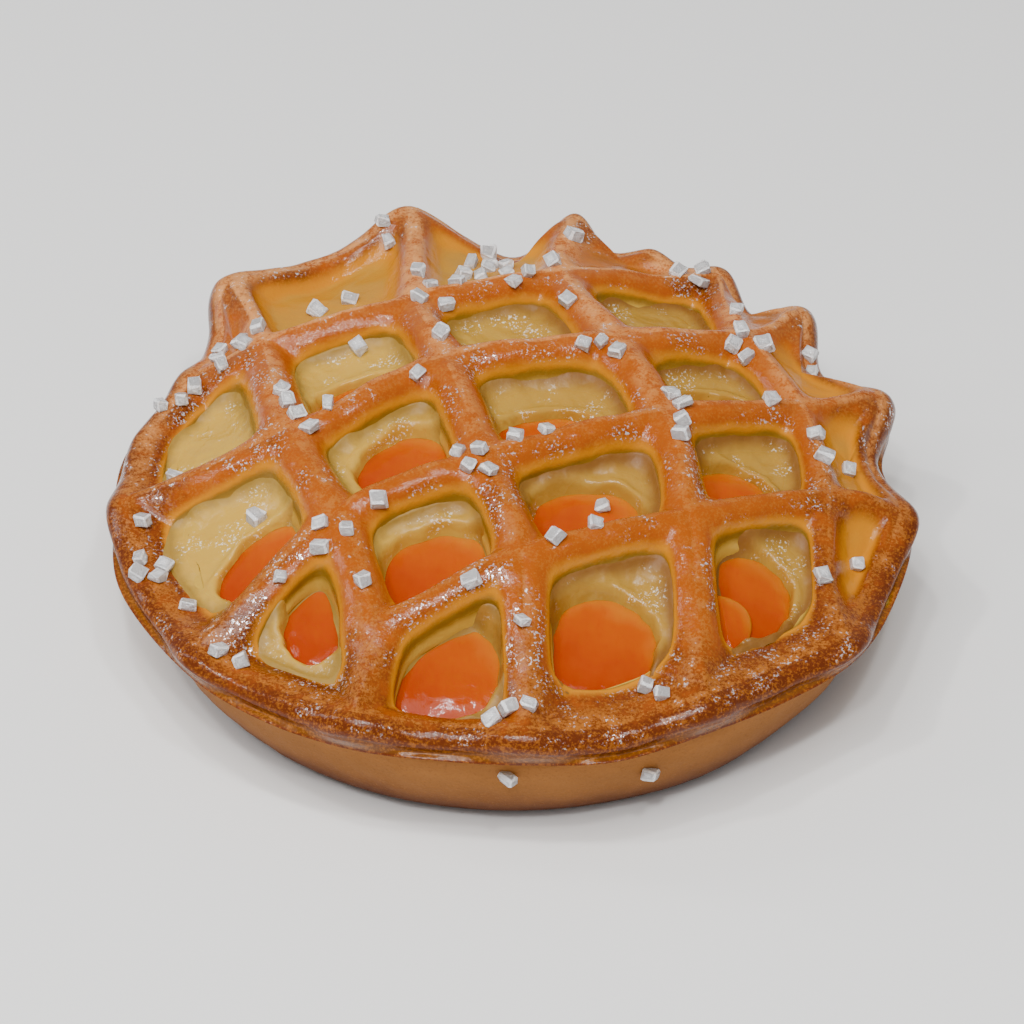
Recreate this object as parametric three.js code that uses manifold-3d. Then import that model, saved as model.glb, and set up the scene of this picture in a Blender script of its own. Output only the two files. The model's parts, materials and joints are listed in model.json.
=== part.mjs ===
// A round, single-serve apricot tart of yeast dough: a shallow dough base, custard, pieces of apricot, and
// over them a puffed lattice that is sprinkled with coarse sugar.
// Millimetres, +Z up. The origin is on the table under the middle of the tart, and -Y is its front.
import * as THREE from 'three';
import { mergeVertices } from 'three/addons/utils/BufferGeometryUtils.js';
import Module from 'manifold-3d';

// ---- driving dimensions ----

// The lattice's two sets of strips cross at these places in plan, from the back row to the front row.
const CROSSINGS = {
  A: [-41.0, 24.7], B: [-15.6, 32.3], C: [8.8, 41.7],
  D: [-35.0, -2.8], E: [-10.2, 12.1], F: [17.5, 18.9], G: [39.4, 27.5],
  H: [-27.0, -23.2], I: [-3.7, -12.7], J: [25.0, -0.9], K: [48.0, 9.7],
  L: [-20.8, -44.6], M: [2.0, -33.2], N: [28.6, -22.8], P: [51.1, -11.5],
};

// The ridge of the lattice's edge, anticlockwise from the front left: angle in degrees, radius and height,
// and how far it hangs over where that isn't EDGE_OVERHANG. The edge stands out where a strip runs into it,
// and sags between.
const EDGE = {
  a: [-112, 62.6, 24.0], b: [-100, 61.4, 23.6], c: [-87, 61.6, 24.0], d: [-75, 62.8, 23.4],
  e: [-61, 62.1, 24.2], f: [-49, 63.2, 23.6], g: [-37, 64.9, 22.6], h: [-25, 64.6, 21.6, 2.6],
  i: [-9, 63.0, 23.0], j: [5, 60.0, 22.8, 1.8], k: [15.5, 62.2, 25.4], l: [27, 57.4, 23.8],
  m: [38.5, 61.4, 26.0], n: [47, 58.8, 22.8], o: [55, 61.4, 24.4], op: [60, 59.8, 25.2],
  p: [66.5, 61.2, 27.5], pq: [73.5, 59.2, 25.6], q: [80, 62.2, 28.2], r: [89, 58.8, 23.0],
  s: [105, 63.2, 29.8], t: [120, 62.8, 27.2],
  u: [136.5, 64.2, 28.0], v: [144, 60.4, 24.6], w: [156, 56.4, 24.8], x: [171, 60.8, 24.4],
  y: [187, 61.4, 23.5], z: [202, 63.4, 22.5], aa: [221, 63.6, 22.5], ab: [235, 63.4, 23.4],
};

// Each strip runs through these points. The first four run from the back to the front.
const STRIPS = [
  ['u', 'A', 'D', 'H', 'L', 'a'], ['s', 'B', 'E', 'I', 'M', 'c'],
  ['q', 'C', 'F', 'J', 'N', 'e'], ['o', 'G', 'K', 'P', 'g'],
  ['w', 'A', 'B', 'C', 'o'], ['y', 'D', 'E', 'F', 'G', 'm'],
  ['aa', 'H', 'I', 'J', 'K', 'k'], ['L', 'M', 'N', 'P', 'i'],
];

// The open wells between the strips, named by the crossings at their corners. margin is half a strip's
// width there, and rim is how much wider the lattice's edge is.
const WELLS = {
  AD: { margin: 4.4 }, CFG: { margin: 4.0, rim: 1.5 },
  ABDE: { margin: 4.0 }, BCEF: { margin: 4.0 }, DEHI: { margin: 3.8 }, EFIJ: { margin: 3.9 },
  FGJK: { margin: 3.9 }, HILM: { margin: 3.7 }, IJMN: { margin: 3.7 }, JKNP: { margin: 3.4 },
  DH: { margin: 4.2, rim: 1.5 }, HL: { margin: 4.0, rim: 2.0 }, LM: { margin: 3.6, rim: -0.2 },
  MN: { margin: 3.7, rim: 5.0 }, NP: { margin: 3.3, rim: 3.5 },
};
const BACK_SLIM = 1.3;                    // how much narrower a strip's back half is than its front half

// Places at the edge where the dough has closed up between the strips, and how deep each dips.
const WEBS = { A: 1.2, C: 1.2, G: 1.2, AB: 4.5, BC: 3.6, GK: 2.4, KP: 3.2, P: 2.8 };
const WEB_RINGS = [[0, 0], [0.3, 0.2], [0.6, 0.7], [1, 1]];  // share of the way in, and share of the dip

// The apricot pieces: the well each shows in, its middle in plan, half its length and half its breadth, its
// turn in degrees, and how far it is raised. One that touches the one before it lies on top of that one.
const APRICOTS = [
  ['ABDE', -23.5, 8.6, 8.4, 7.6, 30, 0], ['DH', -36.5, -24.8, 9.5, 7.1, 39, 0],
  ['DEHI', -15.2, -8.2, 9.0, 8.2, 45, 0], ['EFIJ', 6.5, -3.2, 9.6, 8.2, 15, 0],
  ['FGJK', 33.0, 6.8, 8.0, 7.0, 25, 0], ['HL', -27.8, -36.4, 8.0, 7.2, 70, 0],
  ['HILM', -10.5, -31.5, 9.2, 8.6, 20, 0], ['IJMN', 12.8, -21.4, 9.2, 8.4, 10, 0],
  ['JKNP', 34.8, -12.6, 8.0, 7.4, 20, 0], ['LM', -9.7, -48.7, 9.3, 7.8, 35, 0],
  ['MN', 14.4, -44.0, 8.9, 8.2, 70, 0], ['NP', 36.4, -31.0, 8.4, 7.6, 60, 0],
  ['NP', 33.6, -37.6, 5.2, 4.2, 70, 0.5],
];

const NET_SHIFT = [0.085, 0.495];         // how far the lattice lies off the base's middle

const CROWN = 39.0;                       // height of the lattice over the middle
const CREST_FALL = 14.7;                  // how much lower its crest is at CREST_RADIUS
const CREST_RADIUS = 62.0;
const CREST_POWER = 2.5;
const BISECTIONS = 24;                    // halvings in the search for a well's wall
const CORNER_SOFTNESS = 1.7;              // rounds the wells' corners
const EDGE_OVERHANG = 3.1;                // from the edge's ridge out to its side
const SPAN_STEPS = 4;                     // facets along a strip between two crossings
const EDGE_STEPS = 3;                     // facets between two points of the edge

const BASE_RADIUS = 60.6;                 // mean radius of the dough base where it is widest
const BASE_FRONT = 1.6;                   // it stands out at the front by this much
const BASE_SIDES = 0.8;                   // and at the front's two sides by this much
const BASE_RIGHT = 0.8;                   // and on the right by this much
const BELLY_HEIGHT = 16.0;                // height at which the base is widest
const BELLY_REACH = 35.0;                 // half height of the ellipse that its side follows
const BASE_TOP = 18.6;                    // top of the base's wall
const BASE_FLOOR = 9.0;                   // thickness of its floor
const WALL_SHARE = 0.955;                 // inner radius of the wall, as a share of the outer one
const FLOOR_SHARE = 0.82;                 // and where it meets the floor
const WALL_FOOT = 12.0;                   // the wall steepens above this height
const WALL_FOOT_SHARE = 0.92;             // where its inner radius is this share
const SECTORS = 48;                       // facets round the base and the custard

const CUSTARD_CROWN = 31.7;               // height of the custard in the middle
const CUSTARD_FALL = 12.0;                // and how much lower it is at the wall
const CUSTARD_POWER = 2.6;
const GAP = 0.3;                          // between touching pieces
const REST_GAP = 0.4;                     // between the lattice and what it lies on

const FRUIT_ABOVE = 3.4;                  // an apricot's dome above its rim
const FRUIT_BELOW = 3.6;                  // and its underside below it
const FRUIT_SUNK = 1.7;                   // how deep its rim lies in the custard
const FRUIT_SECTORS = 12;
const FRUIT_EDGE = 6.0;                   // it is pressed down within this distance of the lattice
const POCKET_OPEN = 4.0;                  // the custard is open above the fruit

const GRAIN = 2.35;                       // mean side of a sugar grain
const GRAIN_SPACING = 2.9;                // least distance between two grains' middles
const GRAIN_SINK = 0.55;                  // how far it sits in the glaze
const GRAIN_VARIATION = 0.2;              // how much its sides vary, as a share
const GRAIN_CHIP = 0.22;                  // how much its corners are chipped, as a share
const GRAIN_TILT = 0.45;                  // its largest tilt in radians
const GRAIN_REACH = 0.6;                  // lattice all round its middle, as far as this share of its side
const GRAIN_TRIES = 12;                   // places tried for each grain of a cluster
const LOOSE_TRIES = 2000;                 // and for all the grains outside the clusters
const SEED = 20901;
// Clusters of grains: middle in plan, number and spread.
const CLUSTERS = [
  [-46, 27, 7, 5.0], [-31, -1, 6, 3.6], [-21, 58, 4, 2.6], [-4, 49, 7, 5.0], [31, 50, 4, 3.4],
  [3, 5, 3, 4.0], [3, -6, 8, 3.6], [11, -2, 3, 2.8], [-4, -15, 6, 2.8], [7, -30, 4, 2.4],
  [27, 2, 4, 2.4], [28, -5, 4, 2.4], [14, 14, 4, 4.0], [40, 24, 4, 3.4], [52, 0, 5, 4.0],
  [-56, 20, 3, 4.0], [-57, -22, 4, 3.0], [-28, -27, 3, 3.0], [-44, -45, 2, 3.0], [-2, -57, 3, 2.6],
  [22, -52, 3, 2.6], [48, -28, 4, 3.0], [-36, 8, 4, 3.6], [-12, 34, 3, 5.0],
];
const LOOSE_GRAINS = 26;                  // single grains elsewhere on the lattice

const SLIVER = 0.03;                      // triangles thinner than this are merged into their neighbours

const DOUGH_TAN = 0xc58a48;
const CRUST_BROWN = 0xb5651d;
const CUSTARD_CREAM = 0xe3cf8d;
const APRICOT_ORANGE = 0xe2670b;

// ---- helpers ----

const wasm = await Module();
wasm.setup();

// A closed triangle mesh as a solid that can be joined and cut.
function toSolid(geometry) {
  const bare = geometry.clone();
  bare.deleteAttribute('normal');
  bare.deleteAttribute('uv');
  const merged = mergeVertices(bare, 1e-4);
  return new wasm.Manifold(new wasm.Mesh({
    numProp: 3,
    vertProperties: new Float32Array(merged.attributes.position.array),
    triVerts: new Uint32Array(merged.index.array),
  }));
}

// The solid's surface, without the slivers that joining and cutting leave.
function toGeometry(solid) {
  const mesh = solid.asOriginal().simplify(SLIVER).getMesh();
  const geometry = new THREE.BufferGeometry();
  geometry.setAttribute('position', new THREE.BufferAttribute(new Float32Array(mesh.vertProperties), 3));
  geometry.setIndex(new THREE.BufferAttribute(new Uint32Array(mesh.triVerts), 1));
  geometry.computeVertexNormals();
  return geometry;
}

// A surface from grids of points: each grid is a list of rows, and each row closes on itself.
function fromRows(grids) {
  const points = [];
  const faces = [];
  for (const rows of grids) {
    const around = rows[0].length;
    const first = points.length;
    rows.forEach((row) => points.push(...row));
    for (let i = 0; i < rows.length - 1; i++) {
      for (let k = 0; k < around; k++) {
        const next = (k + 1) % around;
        const [p, q] = [first + i * around + k, first + i * around + next];
        faces.push(p, q, q + around, p, q + around, p + around);
      }
    }
  }
  const geometry = new THREE.BufferGeometry().setFromPoints(points);
  geometry.setIndex(faces);
  const merged = mergeVertices(geometry, 1e-4);
  const kept = [];
  for (let i = 0; i < merged.index.count; i += 3) {
    const [a, b, c] = [0, 1, 2].map((n) => merged.index.array[i + n]);
    if (a !== b && b !== c && c !== a) kept.push(a, b, c);
  }
  merged.setIndex(kept);
  merged.computeVertexNormals();
  return merged;
}

// Rings round the vertical axis, each given as a function of the angle that returns [radius, height].
function ringSolid(profile, sectors) {
  const rows = profile.map((at) => Array.from({ length: sectors }, (_, k) => {
    const angle = (2 * Math.PI * k) / sectors;
    const [radius, height] = at(angle);
    return new THREE.Vector3(radius * Math.cos(angle), radius * Math.sin(angle), height);
  }));
  return fromRows([rows]);
}

// A repeatable random number from 0 to 1.
function makeRandom(seed) {
  let state = seed;
  return () => {
    state = (state * 16807) % 2147483647;
    return state / 2147483647;
  };
}

const smoothstep = THREE.MathUtils.smoothstep;

// ---- forms that several pieces share ----

// The base's radius where it is widest.
const baseRadius = (angle) => BASE_RADIUS - BASE_FRONT * Math.sin(angle) - BASE_SIDES * Math.sin(3 * angle)
  + BASE_RIGHT * Math.cos(angle);

// Height of the lattice's crest over the wells' part of the tart.
const crestHeight = (radius) => CROWN - CREST_FALL * (radius / CREST_RADIUS) ** CREST_POWER;

// Height of the custard at a place in plan.
function custardHeight(x, y) {
  const share = Math.hypot(x, y) / (WALL_SHARE * baseRadius(Math.atan2(y, x)));
  return CUSTARD_CROWN - CUSTARD_FALL * share ** CUSTARD_POWER;
}

// Height of the lattice's underside: it lies on the custard, and at its edge on the base's wall.
const undersideHeight = (x, y) => Math.max(custardHeight(x, y) + REST_GAP, BASE_TOP + REST_GAP);

// ---- the lattice's net of ridges ----

const places = {};
for (const [name, [x, y]] of Object.entries(CROSSINGS)) {
  places[name] = new THREE.Vector3(x, y, crestHeight(Math.hypot(x, y)));
}
for (const [name, [degrees, radius, height]] of Object.entries(EDGE)) {
  const angle = THREE.MathUtils.degToRad(degrees);
  places[name] = new THREE.Vector3(radius * Math.cos(angle), radius * Math.sin(angle), height);
}
Object.values(places).forEach((place) => place.add(new THREE.Vector3(...NET_SHIFT, 0)));

// The stretches of ridge between two junctions, each a list of points, in both directions.
const stretches = [];
function addStretch(from, to, points, isEdge) {
  const back = points.slice().reverse();
  stretches.push({ from, to, points, isEdge }, { from: to, to: from, points: back, isEdge });
}
for (const strip of STRIPS) {
  const curve = new THREE.CatmullRomCurve3(strip.map((name) => places[name]), false, 'catmullrom');
  const spans = strip.length - 1;
  for (let i = 0; i < spans; i++) {
    const points = [];
    for (let k = 0; k <= SPAN_STEPS; k++) points.push(curve.getPoint((i + k / SPAN_STEPS) / spans));
    points[0] = places[strip[i]];
    points[SPAN_STEPS] = places[strip[i + 1]];
    addStretch(strip[i], strip[i + 1], points, false);
  }
}
const edgeNames = Object.keys(EDGE);
const edgeCurve = new THREE.CatmullRomCurve3(edgeNames.map((name) => places[name]), true, 'catmullrom');
const stripEnds = new Set(STRIPS.flatMap((strip) => [strip[0], strip[strip.length - 1]]));
const edgeLoop = [];
edgeNames.forEach((name, i) => {
  for (let k = 0; k < EDGE_STEPS; k++) {
    edgeLoop.push(k === 0 ? places[name] : edgeCurve.getPoint((i + k / EDGE_STEPS) / edgeNames.length));
  }
});
const overhangs = edgeNames.map((name) => new THREE.Vector3(EDGE[name][3] ?? EDGE_OVERHANG, 0, 0));
const overhangCurve = new THREE.CatmullRomCurve3(overhangs, true, 'catmullrom');
let stretchStart = null;
for (let i = 0; i <= edgeNames.length; i++) {
  if (!stripEnds.has(edgeNames[i % edgeNames.length])) continue;
  if (stretchStart !== null) {
    const points = [];
    for (let k = stretchStart * EDGE_STEPS; k <= i * EDGE_STEPS; k++) {
      points.push(edgeLoop[k % edgeLoop.length]);
    }
    addStretch(edgeNames[stretchStart], edgeNames[i % edgeNames.length], points, true);
  }
  stretchStart = i;
}

// The loops of ridge round each well: at every junction the walk takes the next stretch clockwise.
function walkLoops() {
  const leaving = {};
  for (const stretch of stretches) (leaving[stretch.from] ??= []).push(stretch);
  const heading = ({ points }) => Math.atan2(points[1].y - points[0].y, points[1].x - points[0].x);
  Object.values(leaving).forEach((list) => list.sort((a, b) => heading(a) - heading(b)));
  const used = new Set();
  const loops = [];
  for (const start of stretches) {
    const loop = [];
    for (let stretch = start; !used.has(stretch);) {
      used.add(stretch);
      loop.push(stretch);
      const list = leaving[stretch.to];
      const back = list.findIndex((other) => other.to === stretch.from
        && other.points[1].equals(stretch.points[stretch.points.length - 2]));
      stretch = list[(back + list.length - 1) % list.length];
    }
    if (loop.length > 0) loops.push(loop);
  }
  return loops;
}

// Distance in plan from a point to a stretch of ridge.
function distanceTo(point, { points }) {
  let nearest = Infinity;
  for (let i = 0; i < points.length - 1; i++) {
    const [ax, ay] = [points[i].x, points[i].y];
    const [dx, dy] = [points[i + 1].x - ax, points[i + 1].y - ay];
    const along = ((point.x - ax) * dx + (point.y - ay) * dy) / (dx * dx + dy * dy);
    const t = THREE.MathUtils.clamp(along, 0, 1);
    nearest = Math.min(nearest, Math.hypot(point.x - ax - t * dx, point.y - ay - t * dy));
  }
  return nearest;
}

// How much farther out than its ridge a well's side counts as lying: less the edge's extra breadth, and more
// along the well's front, where the strip's slim back half is. A loop runs anticlockwise, so its front runs
// to the right.
function sideShift({ points, isEdge }, rim) {
  if (isEdge) return -rim;
  const along = points[points.length - 1].clone().sub(points[0]);
  return along.x > 0.8 * Math.abs(along.y) ? BACK_SLIM : 0;
}

// Distance to a well's ridges, with each side's shift, blended so that its lines of equal distance have round
// corners.
function softDistance(point, loop, rim) {
  const near = (stretch) => distanceTo(point, stretch) + sideShift(stretch, rim);
  const sum = loop.reduce((total, stretch) => total + Math.exp(-near(stretch) / CORNER_SOFTNESS), 0);
  return -CORNER_SOFTNESS * Math.log(sum);
}

// The points of a loop of ridge, and their middle.
function ridgeOf(loop) {
  const ridge = loop.flatMap((stretch) => stretch.points.slice(0, -1));
  const middle = new THREE.Vector3();
  ridge.forEach((point) => middle.addScaledVector(point, 1 / ridge.length));
  return { ridge, middle };
}

// A well: its loop of ridge points, its middle, and for each ridge point the wall's point opposite it.
function makeWell(loop, { margin, rim = 0 }) {
  const { ridge, middle } = ridgeOf(loop);
  const wall = ridge.map((point) => {
    let [near, far] = [0, 1];
    for (let step = 0; step < BISECTIONS; step++) {
      const half = (near + far) / 2;
      if (softDistance(point.clone().lerp(middle, half), loop, rim) < margin) near = half;
      else far = half;
    }
    return point.clone().lerp(middle, near);
  });
  return { loop, margin, rim, ridge, wall };
}

// A loop's crossings in alphabetical order, which name it, and its area in plan.
const letters = (loop) => loop.map(({ from }) => from).filter((name) => CROSSINGS[name]).sort().join('');
const area = (loop) => loop.flatMap(({ points }) => points.slice(0, -1)).reduce((sum, p, i, all) => {
  const q = all[(i + 1) % all.length];
  return sum + (p.x * q.y - q.x * p.y) / 2;
}, 0);
const loops = walkLoops().filter((loop) => area(loop) > 0);
const wells = {};
for (const loop of loops) {
  const name = letters(loop);
  if (WELLS[name]) wells[name] = makeWell(loop, WELLS[name]);
}

// ---- the lattice ----

// A strip's half section, from its crest round its side and back under it: the share of the way to the
// wall, and the share of its height that the surface has fallen.
const HALF_SECTION = [
  [0, 0], [0.58, 0.09], [0.91, 0.32], [1, 0.6], [0.84, 1], [0, 1],
];

function halfStrip(ridge, side) {
  return HALF_SECTION.map(([out, fallen]) => ridge.map((point, k) => {
    const x = THREE.MathUtils.lerp(point.x, side[k].x, out);
    const y = THREE.MathUtils.lerp(point.y, side[k].y, out);
    return new THREE.Vector3(x, y, THREE.MathUtils.lerp(point.z, undersideHeight(x, y), fallen));
  }));
}

// A web of dough that closes the space between strips and edge.
function web(loop, dip) {
  const { ridge, middle } = ridgeOf(loop);
  const top = WEB_RINGS.map(([share, dipped]) => ridge.map((point) => {
    const inner = point.clone().lerp(middle, share);
    return inner.setZ(inner.z - dip * dipped);
  }));
  const bottom = top.map((row) => row.map(({ x, y }) => new THREE.Vector3(x, y, undersideHeight(x, y))));
  return [top, bottom.reverse()];
}

function makeNet() {
  const grids = Object.values(wells).map(({ ridge, wall }) => halfStrip(ridge, wall));
  for (const loop of loops) {
    const dip = WEBS[letters(loop)];
    if (dip) grids.push(...web(loop, dip));
  }
  const outward = edgeLoop.map((point, k) => {
    const radius = Math.hypot(point.x, point.y);
    return point.clone().multiplyScalar(1 + overhangCurve.getPoint(k / edgeLoop.length).x / radius);
  });
  grids.push(halfStrip(edgeLoop.slice().reverse(), outward.reverse()));
  return fromRows(grids);
}

// ---- sugar ----

// A grain: a chipped block whose eight corners are each a little off.
function makeGrain(random) {
  const size = [0, 1, 2].map(() => GRAIN * (1 + GRAIN_VARIATION * (2 * random() - 1)));
  const geometry = new THREE.BoxGeometry(...size);
  geometry.deleteAttribute('normal');
  geometry.deleteAttribute('uv');
  const block = mergeVertices(geometry, 1e-4);
  const corners = block.attributes.position;
  for (let i = 0; i < corners.count; i++) {
    const chip = [0, 1, 2].map(() => 1 - GRAIN_CHIP * random());
    corners.setXYZ(i, corners.getX(i) * chip[0], corners.getY(i) * chip[1], corners.getZ(i) * chip[2]);
  }
  const tilt = [0, 1].map(() => GRAIN_TILT * (2 * random() - 1));
  block.applyMatrix4(new THREE.Matrix4().makeRotationFromEuler(
    new THREE.Euler(tilt[0], tilt[1], 2 * Math.PI * random()),
  ));
  return block;
}

// Grains lie where a patch as wide as themselves is all lattice and not too steep.
function scatterGrains(net) {
  const random = makeRandom(SEED);
  const mesh = new THREE.Mesh(net, new THREE.MeshStandardMaterial({ side: THREE.DoubleSide }));
  const ray = new THREE.Raycaster();
  const heightAt = (x, y) => {
    ray.set(new THREE.Vector3(x, y, 2 * CROWN), new THREE.Vector3(0, 0, -1));
    const hit = ray.intersectObject(mesh)[0];
    return hit ? hit.point.z : -Infinity;
  };
  const reach = GRAIN_REACH * GRAIN;
  const placed = [];
  const tryPlace = (x, y) => {
    const probes = [[0, 0], [reach, 0], [-reach, 0], [0, reach], [0, -reach]];
    const around = probes.map(([u, v]) => heightAt(x + u, y + v));
    const steepest = Math.max(...around) - Math.min(...around);
    const crowded = placed.some((grain) => Math.hypot(grain.x - x, grain.y - y) < GRAIN_SPACING);
    if (!(steepest < GRAIN) || crowded) return false;
    placed.push({ x, y, z: around[0] });
    return true;
  };
  for (const [x, y, count, spread] of CLUSTERS) {
    for (let found = 0, tries = 0; found < count && tries < GRAIN_TRIES * count; tries++) {
      const angle = 2 * Math.PI * random();
      const distance = spread * Math.sqrt(random());
      if (tryPlace(x + distance * Math.cos(angle), y + distance * Math.sin(angle))) found++;
    }
  }
  for (let found = 0, tries = 0; found < LOOSE_GRAINS && tries < LOOSE_TRIES; tries++) {
    const angle = 2 * Math.PI * random();
    const distance = CREST_RADIUS * Math.sqrt(random());
    if (tryPlace(distance * Math.cos(angle), distance * Math.sin(angle))) found++;
  }
  return placed.map(({ x, y, z }) => makeGrain(random).translate(x, y, z + GRAIN / 2 - GRAIN_SINK));
}

function makeLattice() {
  const net = makeNet();
  const solids = [toSolid(net), ...scatterGrains(net).map(toSolid)];
  return toGeometry(wasm.Manifold.union(solids));
}

// ---- the dough base ----

// Share of the base's radius at a height on its belly.
const bellyShare = (height) => Math.sqrt(1 - ((height - BELLY_HEIGHT) / BELLY_REACH) ** 2);

function makeBase() {
  const outside = [
    [0, 0], [0.85, 0], [0.88, 0.5], ...[2, 5, 9, 13, 16].map((height) => [bellyShare(height), height]),
    [0.992, 17.4], [0.976, 18.3], [0.963, BASE_TOP],
  ];
  const inside = [
    [WALL_SHARE, BASE_TOP], [WALL_FOOT_SHARE, WALL_FOOT], [FLOOR_SHARE, BASE_FLOOR], [0, BASE_FLOOR],
  ];
  const rings = [...outside, ...inside];
  return ringSolid(rings.map(([share, height]) => (angle) => [share * baseRadius(angle), height]), SECTORS);
}

// ---- the custard and the apricots ----

function makeCustardBody() {
  const floor = BASE_FLOOR + GAP;
  const sides = [[FLOOR_SHARE, floor], [WALL_FOOT_SHARE, WALL_FOOT], [WALL_SHARE, BASE_TOP]];
  const side = sides.map(([share, height]) => (angle) => [share * baseRadius(angle) - GAP, height]);
  const top = [0.998, 0.84, 0.62, 0.36, 0].map((share) => (angle) => {
    const radius = share * (WALL_SHARE * baseRadius(angle) - GAP);
    return [radius, custardHeight(radius * Math.cos(angle), radius * Math.sin(angle))];
  });
  return ringSolid([() => [0, floor], ...side, ...top], SECTORS);
}

// An apricot piece, round side up, pressed flatter where it lies under the strips. grow makes it larger all
// over, and lift raises its upper side, to cut the pocket it lies in.
function makeApricot([well, centreX, centreY, halfLength, halfBreadth, degrees, raised], grow, lift) {
  const { loop, margin, rim: edgeBreadth } = wells[well];
  const turn = THREE.MathUtils.degToRad(degrees);
  const middleHeight = custardHeight(centreX, centreY);
  const rim = middleHeight - FRUIT_SUNK + raised;
  const ring = (share, heightAt) => Array.from({ length: FRUIT_SECTORS }, (_, k) => {
    const angle = (2 * Math.PI * k) / FRUIT_SECTORS;
    const u = (halfLength + grow) * share * Math.cos(angle);
    const v = (halfBreadth + grow) * share * Math.sin(angle);
    const x = centreX + u * Math.cos(turn) - v * Math.sin(turn);
    const y = centreY + u * Math.sin(turn) + v * Math.cos(turn);
    return new THREE.Vector3(x, y, heightAt(x, y, rim + custardHeight(x, y) - middleHeight));
  });
  const bulge = (share) => Math.sqrt(1 - share * share);
  const upper = (share) => ring(share, (x, y, rimHere) => {
    const inWell = softDistance({ x, y }, loop, edgeBreadth) - margin;
    const pressed = custardHeight(x, y) - GAP + 2 * FRUIT_ABOVE * smoothstep(inWell, 0, FRUIT_EDGE);
    return Math.max(Math.min(rimHere + FRUIT_ABOVE * bulge(share), pressed), rimHere + GAP) + grow + lift;
  });
  const lower = (share) => ring(share, (x, y, rimHere) => rimHere - FRUIT_BELOW * bulge(share) - grow);
  const rows = [lower(0), lower(0.6), lower(0.97), upper(0.99), upper(0.85), upper(0.5), upper(0)];
  return toSolid(fromRows([rows]));
}

const apricots = APRICOTS.map((row) => makeApricot(row, 0, 0));
const pockets = APRICOTS.map((row) => makeApricot(row, GAP, POCKET_OPEN));

const makeCustard = () => toGeometry(toSolid(makeCustardBody()).subtract(wasm.Manifold.union(pockets)));

// ---- the tart ----

const tart = new THREE.Group();
tart.name = 'apricot_tart';

function addPiece(name, geometry, color, roughness) {
  const mesh = new THREE.Mesh(geometry, new THREE.MeshStandardMaterial({ color, roughness, metalness: 0 }));
  mesh.name = name;
  tart.add(mesh);
}

addPiece('base_crust', makeBase(), DOUGH_TAN, 0.7);
addPiece('custard', makeCustard(), CUSTARD_CREAM, 0.35);
addPiece('lattice', makeLattice(), CRUST_BROWN, 0.35);
apricots.forEach((apricot, i) => {
  const number = String(i + 1).padStart(2, '0');
  const liesUnder = pockets[i + 1] && APRICOTS[i + 1][0] === APRICOTS[i][0];
  const piece = liesUnder ? apricot.subtract(pockets[i + 1]) : apricot;
  addPiece(`apricot_${number}`, toGeometry(piece), APRICOT_ORANGE, 0.2);
});

export default tart;
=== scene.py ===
"""An apricot tart on a pale floor: the looks of its baked base, custard, apricots, glazed lattice and sugar.

Sizes are in millimetres, and +Z is up. The meshes are made in metres, in the same frame as the solids.
"""

import json
import math

import bpy
import numpy as np
from bpy.props import FloatProperty, FloatVectorProperty, IntProperty, PointerProperty
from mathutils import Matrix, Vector
from mathutils.bvhtree import BVHTree

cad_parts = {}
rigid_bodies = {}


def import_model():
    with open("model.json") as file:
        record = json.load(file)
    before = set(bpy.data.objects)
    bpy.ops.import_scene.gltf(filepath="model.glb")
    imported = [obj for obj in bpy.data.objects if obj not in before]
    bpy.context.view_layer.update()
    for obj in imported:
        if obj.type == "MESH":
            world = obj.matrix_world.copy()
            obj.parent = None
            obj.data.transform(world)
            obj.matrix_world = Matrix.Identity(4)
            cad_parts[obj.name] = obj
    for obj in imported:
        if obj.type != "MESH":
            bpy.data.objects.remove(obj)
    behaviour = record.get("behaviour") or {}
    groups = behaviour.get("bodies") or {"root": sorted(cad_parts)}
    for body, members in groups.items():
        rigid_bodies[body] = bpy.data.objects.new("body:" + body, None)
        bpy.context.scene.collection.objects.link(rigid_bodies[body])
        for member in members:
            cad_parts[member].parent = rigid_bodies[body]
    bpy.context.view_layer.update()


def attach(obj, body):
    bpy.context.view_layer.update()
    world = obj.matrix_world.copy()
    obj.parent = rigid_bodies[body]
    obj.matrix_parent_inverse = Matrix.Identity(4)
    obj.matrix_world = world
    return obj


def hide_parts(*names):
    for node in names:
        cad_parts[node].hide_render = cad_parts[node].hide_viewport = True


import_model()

bl_info = {
    "name": "Apricot tart",
    "version": (1, 0, 0),
    "blender": (4, 5, 0),
    "location": "View3D > Sidebar > Tart",
    "description": "Makes a lattice-topped apricot tart and the stage it stands on",
    "category": "Object",
}

MM = 0.001

# ---- named sizes, the same as the solids' ----

CROSSINGS = {
    "A": (-41.0, 24.7), "B": (-15.6, 32.3), "C": (8.8, 41.7),
    "D": (-35.0, -2.8), "E": (-10.2, 12.1), "F": (17.5, 18.9), "G": (39.4, 27.5),
    "H": (-27.0, -23.2), "I": (-3.7, -12.7), "J": (25.0, -0.9), "K": (48.0, 9.7),
    "L": (-20.8, -44.6), "M": (2.0, -33.2), "N": (28.6, -22.8), "P": (51.1, -11.5),
}
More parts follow.
